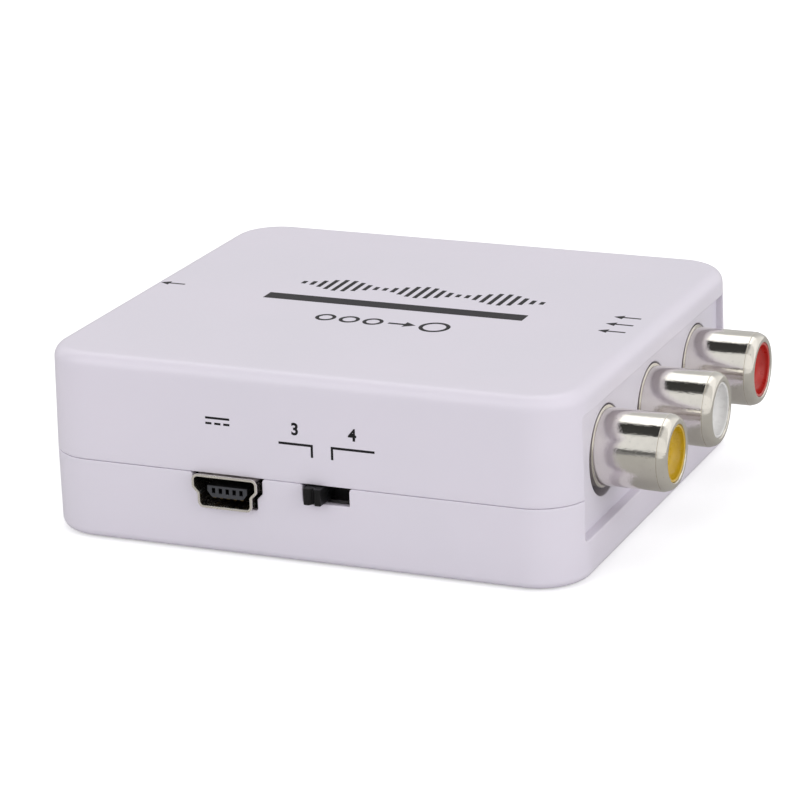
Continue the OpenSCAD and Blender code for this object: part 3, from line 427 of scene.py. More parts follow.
class Shell:
    """One half of the case: a section carried round the plan. It runs from the inside of the flat face down
    the inner wall to the joint, up the outer wall and round the edge to the flat face. Up is 1 for the top
    half and -1 for the other. Stops are the heights where holes end, with the number of rows up to each."""

    def __init__(self, form, up, stops, flat_z, edge_z, inner_z, lean):
        s = form.s
        self.form, self.up, self.edge_z, self.lean = form, up, edge_z, lean
        self.joint = form.seam + up * s.seam_gap / 2
        heights = [self.joint + up * arc((0, s.seam_round), s.seam_round, -90, 0, 4)[:, 1]]
        for stop, rows in stops:
            heights.append(np.linspace(heights[-1][-1], stop, rows)[1:])
        self.heights = heights = np.concatenate(heights + [[edge_z]])
        edge = abs(flat_z - edge_z)
        innermost = s.corner - CORE_GAP
        turn = np.radians(np.linspace(0, 90, 11)[1:])
        q = np.concatenate([
            [innermost, s.wall + INNER_BEVEL[0], s.wall], np.full(len(heights), s.wall), self.inset(heights),
            lean + edge - edge * np.cos(turn), [lean + edge + FLAT_SUPPORT, innermost]
        ])
        z = np.concatenate([
            [inner_z, inner_z, inner_z - up * INNER_BEVEL[1]], heights[::-1], heights,
            flat_z - up * edge + up * edge * np.sin(turn), [flat_z, flat_z]
        ])
        plan = form.core + form.way * (s.corner - q)[:, None, None]
        upright = np.broadcast_to(z[:, None, None], plan.shape[:2] + (1,))
        self.points = np.concatenate([plan, upright], axis=2)
        self.keep = np.ones((self.points.shape[0] - 1, self.points.shape[1]), bool)
        rows = np.arange(len(heights))
        self.inner, self.outer = 2 + len(heights) - rows, 3 + len(heights) + rows
        self.skin = Skin()

    def inset(self, height):
        """Distance from the plan's edge: the lean, and the rounding r - sqrt(r^2 - away^2) at the joint."""
        r = self.form.s.seam_round
        away = np.clip(r - self.up * (height - self.joint), 0, r)
        lean = self.lean * (height - self.form.seam) / (self.edge_z - self.form.seam)
        return lean + r - np.sqrt(r ** 2 - away ** 2)

    def on_side(self, sign):
        """Places on a side wall: x from the plan's circle beyond the straight stretch, less the depth."""
        form = self.form

        def at(y, z, depth):
            past = np.maximum(np.abs(y) - form.core_y, 0)
            reach = np.sqrt((form.s.corner - self.inset(z)) ** 2 - past ** 2)
            return np.stack([sign * (form.core_x + reach - depth), y, z], axis=-1)

        return at

    def on_front(self, x, z, depth):
        """Places on the front wall: y is the wall's own, plus the depth."""
        return np.stack([x, self.inset(z) - self.form.half_d + depth, z], axis=-1)

    def cut(self, columns, limit):
        """Takes a hole's cells out, from the joint to the row at the limit. Returns its edge outside and
        inside: the first column, the far row and the last column."""
        first, last = np.flatnonzero(columns)[[0, -1]]
        far = int(np.argmin(np.abs(self.heights - limit)))
        self.keep[self.inner[far]:self.outer[far], first:last] = False
        paths = []
        for rows in (self.outer[:far + 1], self.inner[:far + 1]):
            paths.append(np.concatenate([self.points[rows, first], self.points[rows[-1], first + 1:last],
                                         self.points[rows[::-1], last]]))
        return paths

    def mouth(self, path, low, high, floor, radius):
        """The nearest points of an opening with two rounded corners: a point of the inner rectangle, plus the
        radius along the ray to the path."""
        inner = path.copy()
        inner[:, 0] = np.clip(path[:, 0], low + radius, high - radius)
        inner[:, 1] = self.up * np.minimum(self.up * path[:, 1], self.up * floor - radius)
        ray = path - inner
        return inner + radius * ray / np.linalg.norm(ray, axis=1, keepdims=True)

    def line(self, edges, outline, place, rounding, walls):
        """The lining of a hole between the outer and the inner skin: out from the outline along its normals,
        round the edge, and down the wall, whose rows are pairs of a distance from the outline and a depth."""
        along = np.gradient(outline, axis=0)
        square = np.stack([along[:, 1], -along[:, 0]], axis=1)
        square /= np.maximum(np.linalg.norm(square, axis=1, keepdims=True), 1e-9)
        if ((outline - outline.mean(axis=0)) * square).sum() < 0:
            square = -square
        square[[0, -1], 1] = 0
        rows = [edges[0]]
        steps = [(rounding + EDGE_BESIDE, 0.0), *quarter(rounding), (0.0, rounding + EDGE_BELOW), *walls]
        for away, depth in steps:
            spot = outline + square * away
            rows.append(place(spot[:, 0], spot[:, 1], depth))
        rows = np.array(rows + [edges[1]])
        self.skin.grid(rows)
        self.skin.plate(rows[:, 0])
        self.skin.plate(rows[:, -1])

    def window(self, sign, limit, floor):
        """Cuts a side window's part out and lines it, as far in as the panel's face."""
        form = self.form
        half = form.window_half
        x, y = form.plan.T
        columns = (sign * x > form.core_x) & (np.abs(y) < half + WINDOW_MARGIN + TINY)
        edges = self.cut(columns, limit)
        outline = self.mouth(edges[0][:, 1:], -half, half, floor, WINDOW_CORNER)
        face = form.half_w - highest("av_side_panel")[0]
        self.line(edges, outline, self.on_side(sign), form.s.window_round, [(0.0, face + PANEL_GAP)])

    def notch(self, centre, half, limit, floor, radius, foot_half=None, waist=None):
        """Cuts a notch out of the front and lines it. Its half width is foot_half below the waist, a pair of
        heights, and half above."""
        form, s = self.form, self.form.s
        x, y = form.plan.T
        columns = (y < TINY - form.half_d) & (np.abs(x - centre) < half + NOTCH_MARGIN + TINY)
        edges = self.cut(columns, limit)
        foot = foot_half or half
        outline = self.mouth(edges[0][:, [0, 2]], centre - foot, centre + foot, floor, radius)
        side = np.sign(outline[:, 0] - centre)
        if waist:
            share = (outline[:, 1] - waist[0]) / (waist[1] - waist[0])
            outline[:, 0] += side * (half - foot) * np.clip(share, 0, 1)
        turn = s.notch_corner
        rise = np.clip(turn - (form.seam - outline[:, 1]), 0, turn)
        outline[:, 0] += side * (turn - np.sqrt(turn ** 2 - rise ** 2))
        walls = [(away, s.wall * share) for away, share in NOTCH_WALL]
        self.line(edges, outline, self.on_front, s.notch_round, walls)


class MODULATOR_OT_case(bpy.types.Operator):
    """Builds the two moulded shells: a section carried round a rounded plan, with windows and notches."""

    bl_idname = "modulator.case"
    bl_label = "Case Shells"

    def execute(self, context):
        settings = context.scene.modulator
        form = CaseForm(settings)
        s = form.s
        plastic = moulded("case plastic", settings.colours.case)

        window_limit = form.window_top + WINDOW_MARGIN
        top = Shell(form, 1, [(window_limit, 15)], form.top - s.print_thickness, form.top - s.top_edge,
                    form.top - s.wall, s.top_lean)
        slot_limit, usb_limit = form.slot_floor - NOTCH_MARGIN, form.usb_floor - NOTCH_MARGIN
        sill_limit = s.window_sill - WINDOW_MARGIN
        stops = [(slot_limit, 13), (usb_limit, 9), (sill_limit, 5)]
        bottom = Shell(form, -1, stops, 0.0, s.bottom_edge, s.wall, s.bottom_lean)
        for sign in (1, -1):
            top.window(sign, window_limit, form.window_top)
            bottom.window(sign, sill_limit, s.window_sill)
        bottom.notch(form.usb_middle, form.usb_half, usb_limit, form.usb_floor, USB_NOTCH_CORNER,
                     form.usb_foot_half, form.usb_waist)
        bottom.notch(form.switch_middle, s.slot_half, slot_limit, form.slot_floor, SLOT_CORNER)
        for name, half in (("top_shell", top), ("bottom_shell", bottom)):
            half.skin.tube(half.points, half.keep)
            put(f"{name}_moulding", half.skin, "case", plastic, [name])
        return {"FINISHED"}


# Side panels

PANEL_ROUND = 0.12
PANEL_BESIDE = 0.15
AERIAL_HOLE = 5.1
# Steps round each of the four parts of a hole's rectangle
HOLE_STEPS = 32
# From a lone hole's edge to the upright edge of its rectangle
LONE_MARGIN = 2.45


def panel_skin(node, sign, holes):
    """A plate with round holes, each with its y, z and radius. Round a hole the rows run from a circle to a
    rectangle: a ray at angle a meets it at the lesser of half width / |cos a| and half height / |sin a|.
    Neighbouring rectangles share an edge, and strips fill what is left at the plate's ends."""
    low, high = lowest(node), highest(node)
    face_x, back_x = (high[0], low[0]) if sign > 0 else (low[0], high[0])
    first_y, middle_z, radius = holes[0]
    half_y = (holes[1][0] - first_y) / 2 if len(holes) > 1 else radius + LONE_MARGIN
    up, down = high[2] - middle_z, middle_z - low[2]
    up_turn, down_turn = np.degrees(np.arctan2([up, down], half_y))
    stops = [-down_turn, up_turn, 180 - up_turn, 180 + down_turn, 360 - down_turn]
    turns = [np.linspace(a, b, HOLE_STEPS, endpoint=False) for a, b in zip(stops, stops[1:])]
    angle = np.radians(np.concatenate(turns))
    cos, sin = np.cos(angle), np.sin(angle)
    reach = np.minimum(half_y / np.maximum(np.abs(cos), 1e-12),
                       np.where(sin > 0, up, down) / np.maximum(np.abs(sin), 1e-12))
    skin = Skin()
    for y, z, r in holes:
        rings = [(reach, 0.0), (r + PANEL_ROUND + PANEL_BESIDE, 0.0)]
        rings += [(r + away, depth) for away, depth in quarter(PANEL_ROUND)] + [(r, PANEL_ROUND + EDGE_BELOW)]
        rings = [(q, face_x - sign * depth) for q, depth in rings] + [(r, back_x), (reach, back_x)]
        rows = [np.stack(np.broadcast_arrays(x, y + q * cos, z + q * sin), axis=1) for q, x in rings]
        skin.grid(np.stack(rows), wrap=True)
    for hole, way, end_y in ((holes[0], -1, low[1]), (holes[-1], 1, high[1])):
        z = np.sort((hole[1] + reach * sin)[np.abs(way * reach * cos - half_y) < TINY])
        for x in (face_x, back_x):
            skin.grid(strip((x, end_y, z), (x, hole[0] + way * half_y, z)))
        skin.grid(strip((face_x, end_y, z), (back_x, end_y, z)))
    for end_z in (high[2], low[2]):
        on_rim = [(y + reach * cos)[np.abs(z + reach * sin - end_z) < TINY] for y, z, _ in holes]
        row = np.unique(np.round(np.concatenate([[low[1], high[1]], *on_rim]), 7))
        skin.grid(strip((face_x, row, end_z), (back_x, row, end_z)))
    return skin


class MODULATOR_OT_side_panels(bpy.types.Operator):
    """Builds the recessed side panels, with rounded edges at the holes of the jacks and the aerial socket."""

    bl_idname = "modulator.side_panels"
    bl_label = "Side Panels"

    def execute(self, context):
        settings = context.scene.modulator
        jacks = in_mm(settings.jacks)
        plastic = moulded("panel plastic", settings.colours.panel)
        centres = [middle(f"{tint}_jack_barrel") for tint in TINTS]
        inputs = [(at[1] + jacks.hole_shift, at[2] - jacks.hole_drop, jacks.hole) for at in centres]
        output = [(*middle("rf_socket_barrel")[1:], AERIAL_HOLE)]
        for name, node, sign, holes in (("input_panel", "av_side_panel", 1, inputs),
                                        ("output_panel", "rf_side_panel", -1, output)):
            put(name, panel_skin(node, sign, holes), "case", plastic, [node])
        return {"FINISHED"}


# Jacks

# Sections of a barrel's back end, collar and crease: distances past the back, past the panel's face and
# behind the band, each with a rise over the barrel's radius
BACK = ((0, 0.15), (0.1, 0.25))
COLLAR = ((0.04, 0.25), (0.08, 0.21), (0.09, 0.15), (0.09, 0.03), (0.11, 0), (0.16, 0))
CREASE = ((3, 0), (0.2, 0), (0.09, 0), (0.07, -0.02), (0.05, -0.1), (0.02, -0.09))
# The angle, in degrees, where the band's ellipse starts, and the lip's radius
BAND_START = 22
LIP = 0.14
# How much less than the barrel's radius the band has where it starts
BAND_DROP = 0.035
# Distances of the rim's inner end and of the mouth's end behind the barrel's end
RIM_END = 0.5
MOUTH_END = 0.8
# An insert: the clearance in the mouth and in the bore, its shoulder behind the face, the radius of its outer
# edge, the rounding of the funnel's brim and the bevel at the pin hole
MOUTH_CLEARANCE = 0.02
BORE_CLEARANCE = 0.05
SHOULDER = 0.85
FACE_ROUND = 0.08
BRIM = 0.1
PIN_BEVEL = 0.06
# Radii of the contact's pocket in an insert and of its hole at the back, and its reach behind the face
POCKET_RADIUS = 2.05
REAR_HOLE = 0.76
POCKET_LENGTH = 16.15


def barrel_profile(low_x, end, jacks, panel):
    """Section of a drawn barrel: a collar in the panel's hole, the outside, a crease, a band that is the last
    68 degrees of a quarter ellipse, the rolled rim, and the bore behind it."""
    r, nose, mouth, bore = jacks.barrel, jacks.nose, jacks.mouth, jacks.bore
    t, start = np.radians(np.linspace(BAND_START, 90, 13)), np.radians(BAND_START)
    rim, rest = mouth + 2 * LIP, end - MOUTH_END
    band_x = end - nose + nose * (np.sin(t) - np.sin(start)) / (1 - np.sin(start))
    band_r = rim + (r - BAND_DROP - rim) * np.cos(t) / np.cos(start)
    sections = [[[place + way * x, r + rise] for x, rise in section]
                for place, way, section in ((low_x, 1, BACK), (panel, 1, COLLAR), (end - nose, -1, CREASE))]
    return np.concatenate([
        [[low_x, bore]], *sections, np.stack([band_x, band_r], axis=1),
        arc((end - LIP, mouth + LIP), (LIP, -LIP), 0, 90, 6),
        [[end - RIM_END, mouth], [rest, mouth], [rest, mouth + 0.05], [rest, bore], [rest - 0.1, bore],
         [low_x + 0.2, bore], [low_x, bore]]
    ])


def insert_profile(low_x, face, jacks, pocket):
    """Section of a coloured insert: a rounded face, a bowl that is a quarter ellipse, the hole for a plug's
    pin and the contact's pocket."""
    pin, mouth, outer = jacks.pin, jacks.mouth - MOUTH_CLEARANCE, jacks.bore - BORE_CLEARANCE
    shoulder, floor, rear = face - SHOULDER, face - jacks.funnel_depth, face - POCKET_LENGTH
    t = np.radians(np.linspace(4, 86, 12))
    bowl_x = face - BRIM - (jacks.funnel_depth - 2 * BRIM) * np.sin(t)
    bowl_r = pin + PIN_BEVEL + (jacks.funnel - pin - PIN_BEVEL) * np.cos(t)
    return np.concatenate([
        [[low_x, REAR_HOLE], [low_x, outer], [shoulder, outer], [shoulder, mouth], [face - 0.1, mouth]],
        arc((face - FACE_ROUND, mouth - FACE_ROUND), FACE_ROUND, 90, 0, 4),
        arc((face - BRIM, jacks.funnel + BRIM), (BRIM, -BRIM), 0, 90, 5), np.stack([bowl_x, bowl_r], axis=1),
        [[floor + PIN_BEVEL, pin + PIN_BEVEL], [floor, pin], [pocket + 0.1, pin], [pocket, pin],
         [pocket, POCKET_RADIUS], [rear, POCKET_RADIUS], [rear, REAR_HOLE], [low_x, REAR_HOLE]]
    ])


class MODULATOR_OT_jacks(bpy.types.Operator):
    """Builds the plated barrels and the coloured inserts of the three phono jacks, as turned forms."""

    bl_idname = "modulator.jacks"
    bl_label = "Phono Jacks"

    def execute(self, context):
        settings = context.scene.modulator
        jacks, colours = in_mm(settings.jacks), settings.colours
        metal = plated("barrel nickel", colours.nickel)
        panel = highest("av_side_panel")[0]
        for tint in TINTS:
            barrel, insert = f"{tint}_jack_barrel", f"{tint}_jack_insert"
            _, y, z = middle(barrel)
            skin = Skin()
            profile = barrel_profile(lowest(barrel)[0], highest(barrel)[0], jacks, panel)
            skin.grid(turned(profile, settings.jacks.steps, y, z), wrap=True)
            put(f"{tint}_barrel_turning", skin, "case", metal, [barrel])
            skin = Skin()
            pocket = highest(f"{tint}_jack_contact")[0] + 0.05
            profile = insert_profile(lowest(insert)[0], highest(insert)[0], jacks, pocket)
            skin.grid(turned(profile, settings.jacks.steps, y, z), wrap=True)
            gloss = glossy(f"{tint} insert plastic", getattr(colours, tint))
            put(f"{tint}_insert_moulding", skin, "case", gloss, [insert])
        return {"FINISHED"}


# Power socket

# Section of the rolled rim, as pairs of the outline's growth and the distance behind the front
SOCKET_RIM = ((0, 0.6), (0.015, 0.45), (0.06, 0.25), (0.1, 0.12), (0.1, 0.06), (0.075, 0.015), (0.02, 0),
              (-0.12, 0), (-0.175, 0.02), (-0.195, 0.07), (-0.2, 0.15), (-0.22, 0.3))
WAIST_CORNER = 0.35
# The lugs: their places as shares of the shell's depth, their thickness, their height over the board and the
# radius of their upright edges
LUG_PLACES = (0.5, 0.86)
LUG_THICKNESS = 0.35
LUG_RISE = 1.1
LUG_ROUND = 0.08
# The tongue: heights of its front's rows over its foot, half its width at each, and the rows that slots span
TONGUE_FOOT = 0.95
TONGUE_ROWS = (0, 0.42, 0.625, 1.02, 1.25)
TONGUE_HALVES = (1.8, 2.136, 2.3, 2.3, 2.3)
SLOT_ROWS = slice(1, 4)
SLOT_DEPTH = 0.8
# The insulator's block behind the tongue, and its gap inside the shell
BLOCK_LENGTH = 2
BLOCK_GAP = 0.1
TONGUE_BEVEL = 0.04
# The tongue is painted black from this far behind its front: painted shade for the dark inside of the socket
PAINTED_SHADE_DEPTH = 0.12


def usb_outline(socket, centre, floor):
    """The power socket's outline: wide above, a slanted waist, narrow below, with every corner rounded."""
    wide, narrow, r = socket.wide / 2, socket.narrow / 2, socket.corner
    low, high, top = socket.narrow_top, socket.wide_bottom, socket.height
    corners = np.array([[-narrow, 0], [narrow, 0], [narrow, low], [wide, high], [wide, top], [-wide, top],
                        [-wide, high], [-narrow, low]])
    radii = [r, r, WAIST_CORNER, WAIST_CORNER, r, r, WAIST_CORNER, WAIST_CORNER]
    return rounded_outline(corners, radii, 9) + [centre, floor]


class MODULATOR_OT_power_socket(bpy.types.Operator):
    """Builds the power socket's folded shell with its rolled rim, and its tongue with slots for contacts."""

    bl_idname = "modulator.power_socket"
    bl_label = "Power Socket"

    def execute(self, context):
        settings = context.scene.modulator
        socket, colours = in_mm(settings.sockets), settings.colours
        (_, front, leg), back = lowest("usb_shell"), highest("usb_shell")[1]
        board, centre, sheet = highest("circuit_board")[2], middle("usb_shell")[0], socket.sheet
        outline = usb_outline(socket, centre, board)
        steps = [(0, back), *((grow, front + behind) for grow, behind in SOCKET_RIM),
                 (-sheet, front + SOCKET_RIM[0][1]), (-sheet, back), (0, back)]
        skin = Skin()
        skin.grid(grown(outline, steps, 1), wrap=True)
        half_lug = socket.lug / 2
        for share in LUG_PLACES:
            y = front + share * (back - front)
            for sign in (-1, 1):
                x = sorted(centre + sign * (socket.narrow / 2 + side) for side in (0, LUG_THICKNESS))
                low, high = [x[0], y - half_lug, leg], [x[1], y + half_lug, board + LUG_RISE]
                rounded_block(skin, low, high, LUG_ROUND)
        put("power_socket_shell", skin, "case", plated("socket nickel", tinted(colours.nickel, 1.13), 0.22),
            ["usb_shell"])

        # Tongue: rows up its front face follow the slanted sides, columns stand at the edges of the slots
        front, back = lowest("usb_insulator")[1], highest("usb_insulator")[1]
        spots = socket.contact_pitch * np.arange(-2, 3)
        edges = np.sort(np.concatenate([spots - socket.slot_width / 2, spots + socket.slot_width / 2]))
        x = np.tile(np.concatenate([[-1], edges, [1]]), (len(TONGUE_ROWS), 1))
        x[:, 0], x[:, -1] = np.negative(TONGUE_HALVES), TONGUE_HALVES
        z = np.reshape(TONGUE_ROWS, (-1, 1)) + board + TONGUE_FOOT
        face = np.stack(np.broadcast_arrays(x + centre, front, z), axis=2)
        keep = np.ones((x.shape[0] - 1, x.shape[1] - 1), bool)
        keep[SLOT_ROWS.start:SLOT_ROWS.stop - 1, 1::2] = False
        skin = Skin()
        skin.grid(face, keep)
        for column in range(1, 2 * len(spots), 2):
            hole = np.concatenate([face[SLOT_ROWS, column], face[SLOT_ROWS, column + 1][::-1]])
            deep = hole + [0, SLOT_DEPTH, 0]
            skin.grid(np.stack([hole, deep]), wrap=True)
            skin.plate(deep)
        edge = np.concatenate([face[0], face[1:, -1], face[-1, -2::-1], face[-2:0:-1, 0]])
        rear = edge + [0, back - BLOCK_LENGTH - front, 0]
        skin.grid(np.stack([edge, rear]), wrap=True)
        skin.plate(rear)
        skin.tube(grown(outline, [(-sheet - BLOCK_GAP, back - BLOCK_LENGTH), (-sheet - BLOCK_GAP, back)], 1))
        # Painted shade: the tongue's colour turns from grey to black behind its front, where the socket is
        # dark inside
        painted_shade = (colours.black, front + PAINTED_SHADE_DEPTH)
        tongue = put("power_socket_tongue", skin, "case", matte("tongue plastic", colours.grey, 0.42, painted_shade),
                     ["usb_insulator"])
        bevel = tongue.modifiers.new("Edges", "BEVEL")
        bevel.width, bevel.segments = TONGUE_BEVEL * MM, 2
        bevel.limit_method, bevel.angle_limit = "ANGLE", 0.6
        bevel.harden_normals = True
        return {"FINISHED"}


KNOB_HALF = 1.0
KNOB_RIM = 0.09
RIDGE_END = 0.36
# Radii of the knob's corners, from its root on one side, over the groove, to its root on the other
KNOB_RADII = (0.05, 0.2, 0.14, 0.08, 0.14, 0.2, 0.05)
CARRIAGE_ROUND = 0.1
# Gaps between the knob and the slot's edges, and behind the knob to its carriage's face and root
KNOB_GAP = 0.1
CARRIAGE_GAP = 0.45
KNOB_ROOT = 0.2


class MODULATOR_OT_knob(bpy.types.Operator):
    """Builds the channel switch's knob, two ridges with a groove between them, and its carriage."""

    bl_idname = "modulator.knob"
    bl_label = "Channel Knob"

    def execute(self, context):
        settings = context.scene.modulator
        form = CaseForm(settings)
        low, high = lowest("switch_slider"), highest("switch_slider")
        centre, front = middle("switch_slider")[0], low[1]
        carriage = lowest("switch_frame")[1] + CARRIAGE_GAP
        root = carriage + KNOB_ROOT
        groove = front + in_mm(settings.sockets).groove
        corners = np.array([[-KNOB_HALF, root], [-KNOB_HALF, front], [-RIDGE_END, front], [0, groove],
                            [RIDGE_END, front], [KNOB_HALF, front], [KNOB_HALF, root]]) + [centre, 0]
        outline = rounded_outline(corners, KNOB_RADII, 6)
        below, above = form.slot_floor + KNOB_GAP, form.seam - KNOB_GAP
        rim = [(-depth, away) for away, depth in quarter(KNOB_RIM, 4)]
        steps = [(grow, below + drop) for grow, drop in rim[::-1]]
        steps += [(grow, above - drop) for grow, drop in rim]
        skin = Skin()
        skin.tube(grown(outline, steps, 2))
        rounded_block(skin, [low[0], carriage, low[2]], high, CARRIAGE_ROUND)
        put("channel_knob", skin, "switch_knob", matte("knob plastic", settings.colours.black, 0.33),
            ["switch_slider"])
        return {"FINISHED"}


# Aerial socket

THREAD_CREST = 4.76
FLANGE_RADIUS = 5.0
# Radii of the socket's hole for the insulator, and of the neck that goes into the shield
AERIAL_HOLE_INSIDE = 1.35
NECK_RADIUS = 3.0
# The bore ends this far out from the shield
BORE_END = 1.5
NECK_BEVEL = 0.05
# Section of the flange: distances out from the shield, each with a rise over the flange's radius
FLANGE = ((0, -0.1), (0.1, 0), (0.9, 0), (1.0, -0.1))
FLANGE_LENGTH = 1.05
# Section of the mouth's outer edge: distances behind the end, each with a rise over the crest's radius
MOUTH_EDGE = ((0.05, -0.33), (0, -0.42))
BORE_BEVEL = 0.1
BORE_ROW = 0.9
# Length of the flange with the plain stretch after it, and the plain stretch at the mouth
THREAD_START = 1.3
THREAD_STOP = 0.35
THREAD_ROWS, THREAD_STEPS = 150, 96
# The thread's wave runs from 0 to 1: the share of it that is crest, the share that is flank, and the lengths
# over which the thread fades in after the flange and out at the mouth
CREST_SHARE, FLANK_SHARE = 0.2, 0.62
FADE_IN, FADE_OUT = 0.6, 0.3


class MODULATOR_OT_aerial_socket(bpy.types.Operator):
    """Builds the threaded aerial socket. Its thread is a wave along X that moves on by a pitch in a turn."""

    bl_idname = "modulator.aerial_socket"
    bl_label = "Aerial Socket"

    def execute(self, context):
        settings = context.scene.modulator
        socket = in_mm(settings.sockets)
        _, y, z = middle("rf_socket_barrel")
        end, inside = lowest("rf_socket_barrel")[0], highest("rf_socket_barrel")[0]
        root, bore = lowest("modulator_shield")[0], socket.aerial_bore
        crest, hole = THREAD_CREST, AERIAL_HOLE_INSIDE
        angle = np.linspace(0, 2 * np.pi, THREAD_STEPS, endpoint=False)
        first, last = root - THREAD_START, end + THREAD_STOP
        x = np.linspace(first, last, THREAD_ROWS)[:, None]
        wave = np.abs(((x / socket.thread_pitch - angle / (2 * np.pi)) % 1) * 2 - 1)
        cut = socket.thread_depth * np.clip((wave - CREST_SHARE) / FLANK_SHARE, 0, 1)
        r = crest - cut * np.clip((first - x) / FADE_IN, 0, 1) * np.clip((x - last) / FADE_OUT, 0, 1)
        thread = np.stack(np.broadcast_arrays(x, y + r * np.cos(angle), z + r * np.sin(angle)), axis=-1)
        before = [(inside, hole), (inside, NECK_RADIUS - NECK_BEVEL), (inside - NECK_BEVEL, NECK_RADIUS),
                  (root, NECK_RADIUS), *((root - out, FLANGE_RADIUS + rise) for out, rise in FLANGE),
                  (root - FLANGE_LENGTH, crest)]
        after = [*((end + behind, crest + rise) for behind, rise in MOUTH_EDGE), (end, bore + BORE_BEVEL),
                 (end + BORE_BEVEL, bore), (end + BORE_ROW, bore), (root - BORE_END, bore),
                 (root - BORE_END, hole), (root, hole), (inside, hole)]
        rows = [turned(before, THREAD_STEPS, y, z), thread, turned(after, THREAD_STEPS, y, z)]
        skin = Skin()
        skin.grid(np.concatenate(rows), wrap=True)
        metal = plated("aerial socket nickel", settings.colours.nickel, 0.24)
        put("aerial_socket_turning", skin, "case", metal, ["rf_socket_barrel"])
        return {"FINISHED"}


# Printed marks

# How far the marks reach into the shell
PRINT_ROOT = 0.01
BAR = (-15.3, -2.07, 15.5, 0.0)
# The row of strokes: places, the least stroke as a share of the tallest, half a stroke's width, the row's
# middle, half the tallest stroke and the swell's length
WAVE_PLACES = (-13.3, 15.3, 27)
WAVE_LEAST = 0.22
WAVE_HALF_STROKE, WAVE_Y, WAVE_HALF, WAVE_LENGTH = 0.26, 4.75, 2.2, 9.55
# The sign under the bar: its height, its rings as (x, radius, line width), and its arrow
SIGN_Y = -7.1
SIGN_RINGS = ((-5.4, 0.95, 0.42), (-2.6, 0.95, 0.42), (0.2, 0.95, 0.42), (7.4, 1.5, 0.46))
SIGN_ARROW = (5.2, 2.0, 1.3, 0.22, 0.85)
# Arrows beside the sockets: tip, tail and each arrow's y, and then the head's length, half the line's width
# and half the head's
SIDE_ARROWS = {"input": (24.5, 27.6, (-2.9, -0.3, 2.3)), "output": (-29.0, -26.0, (0.0,))}
SIDE_HEAD = (1.1, 0.16, 0.62)
BRACKET_HALF_LINE = 0.13
# The brackets: the upright's x, the far end's x, the line's height and the upright's foot
BRACKETS = ((1.78, -2.0, 13.17, 11.89), (4.07, 8.87, 13.19, 11.88))
# The direct current sign: a line over three dashes
CURRENT_SIGN = ((-10.4, 14.95, -7.6, 15.19), (-10.4, 14.35, -9.68, 14.59), (-9.36, 14.35, -8.64, 14.59),
                (-8.32, 14.35, -7.6, 14.59))
NUMBER_BASELINE, NUMBER_SIZE, NUMBER_WEIGHT = 14.2, 1.8, 0.055
NUMBER_PLACES = {"left": -0.1, "right": 6.4}
# How far over their baseline the wall's lean is taken
NUMBER_MIDDLE = 0.5


def flat_mark(name, outlines, place, ink):
    """A thin mark: each outline, in the plane's own two directions, is closed in front and behind."""
    skin = Skin()
    for outline in outlines:
        outline = np.asarray(outline, float)
        skin.tube(np.stack([place(outline, 0.0), place(outline, 1.0)]))
    put(name, skin, "case", ink)


def arrow_outline(y, tip, tail, head, half_line, half_head):
    """An arrow along X: a line from the tail to the neck, and a head that narrows from there to the tip."""
    neck = tip - np.sign(tip - tail) * head
    return [[tail, y - half_line], [neck, y - half_line], [neck, y - half_head], [tip, y],
            [neck, y + half_head], [neck, y + half_line], [tail, y + half_line]]


def ring_outlines(x, y, r, width):
    """A ring as two half rings, so that each is one simple outline."""
    return [np.concatenate([arc((x, y), r + width / 2, start, start + 180, 40),
                            arc((x, y), r - width / 2, start + 180, start, 40)]) for start in (0, 180)]


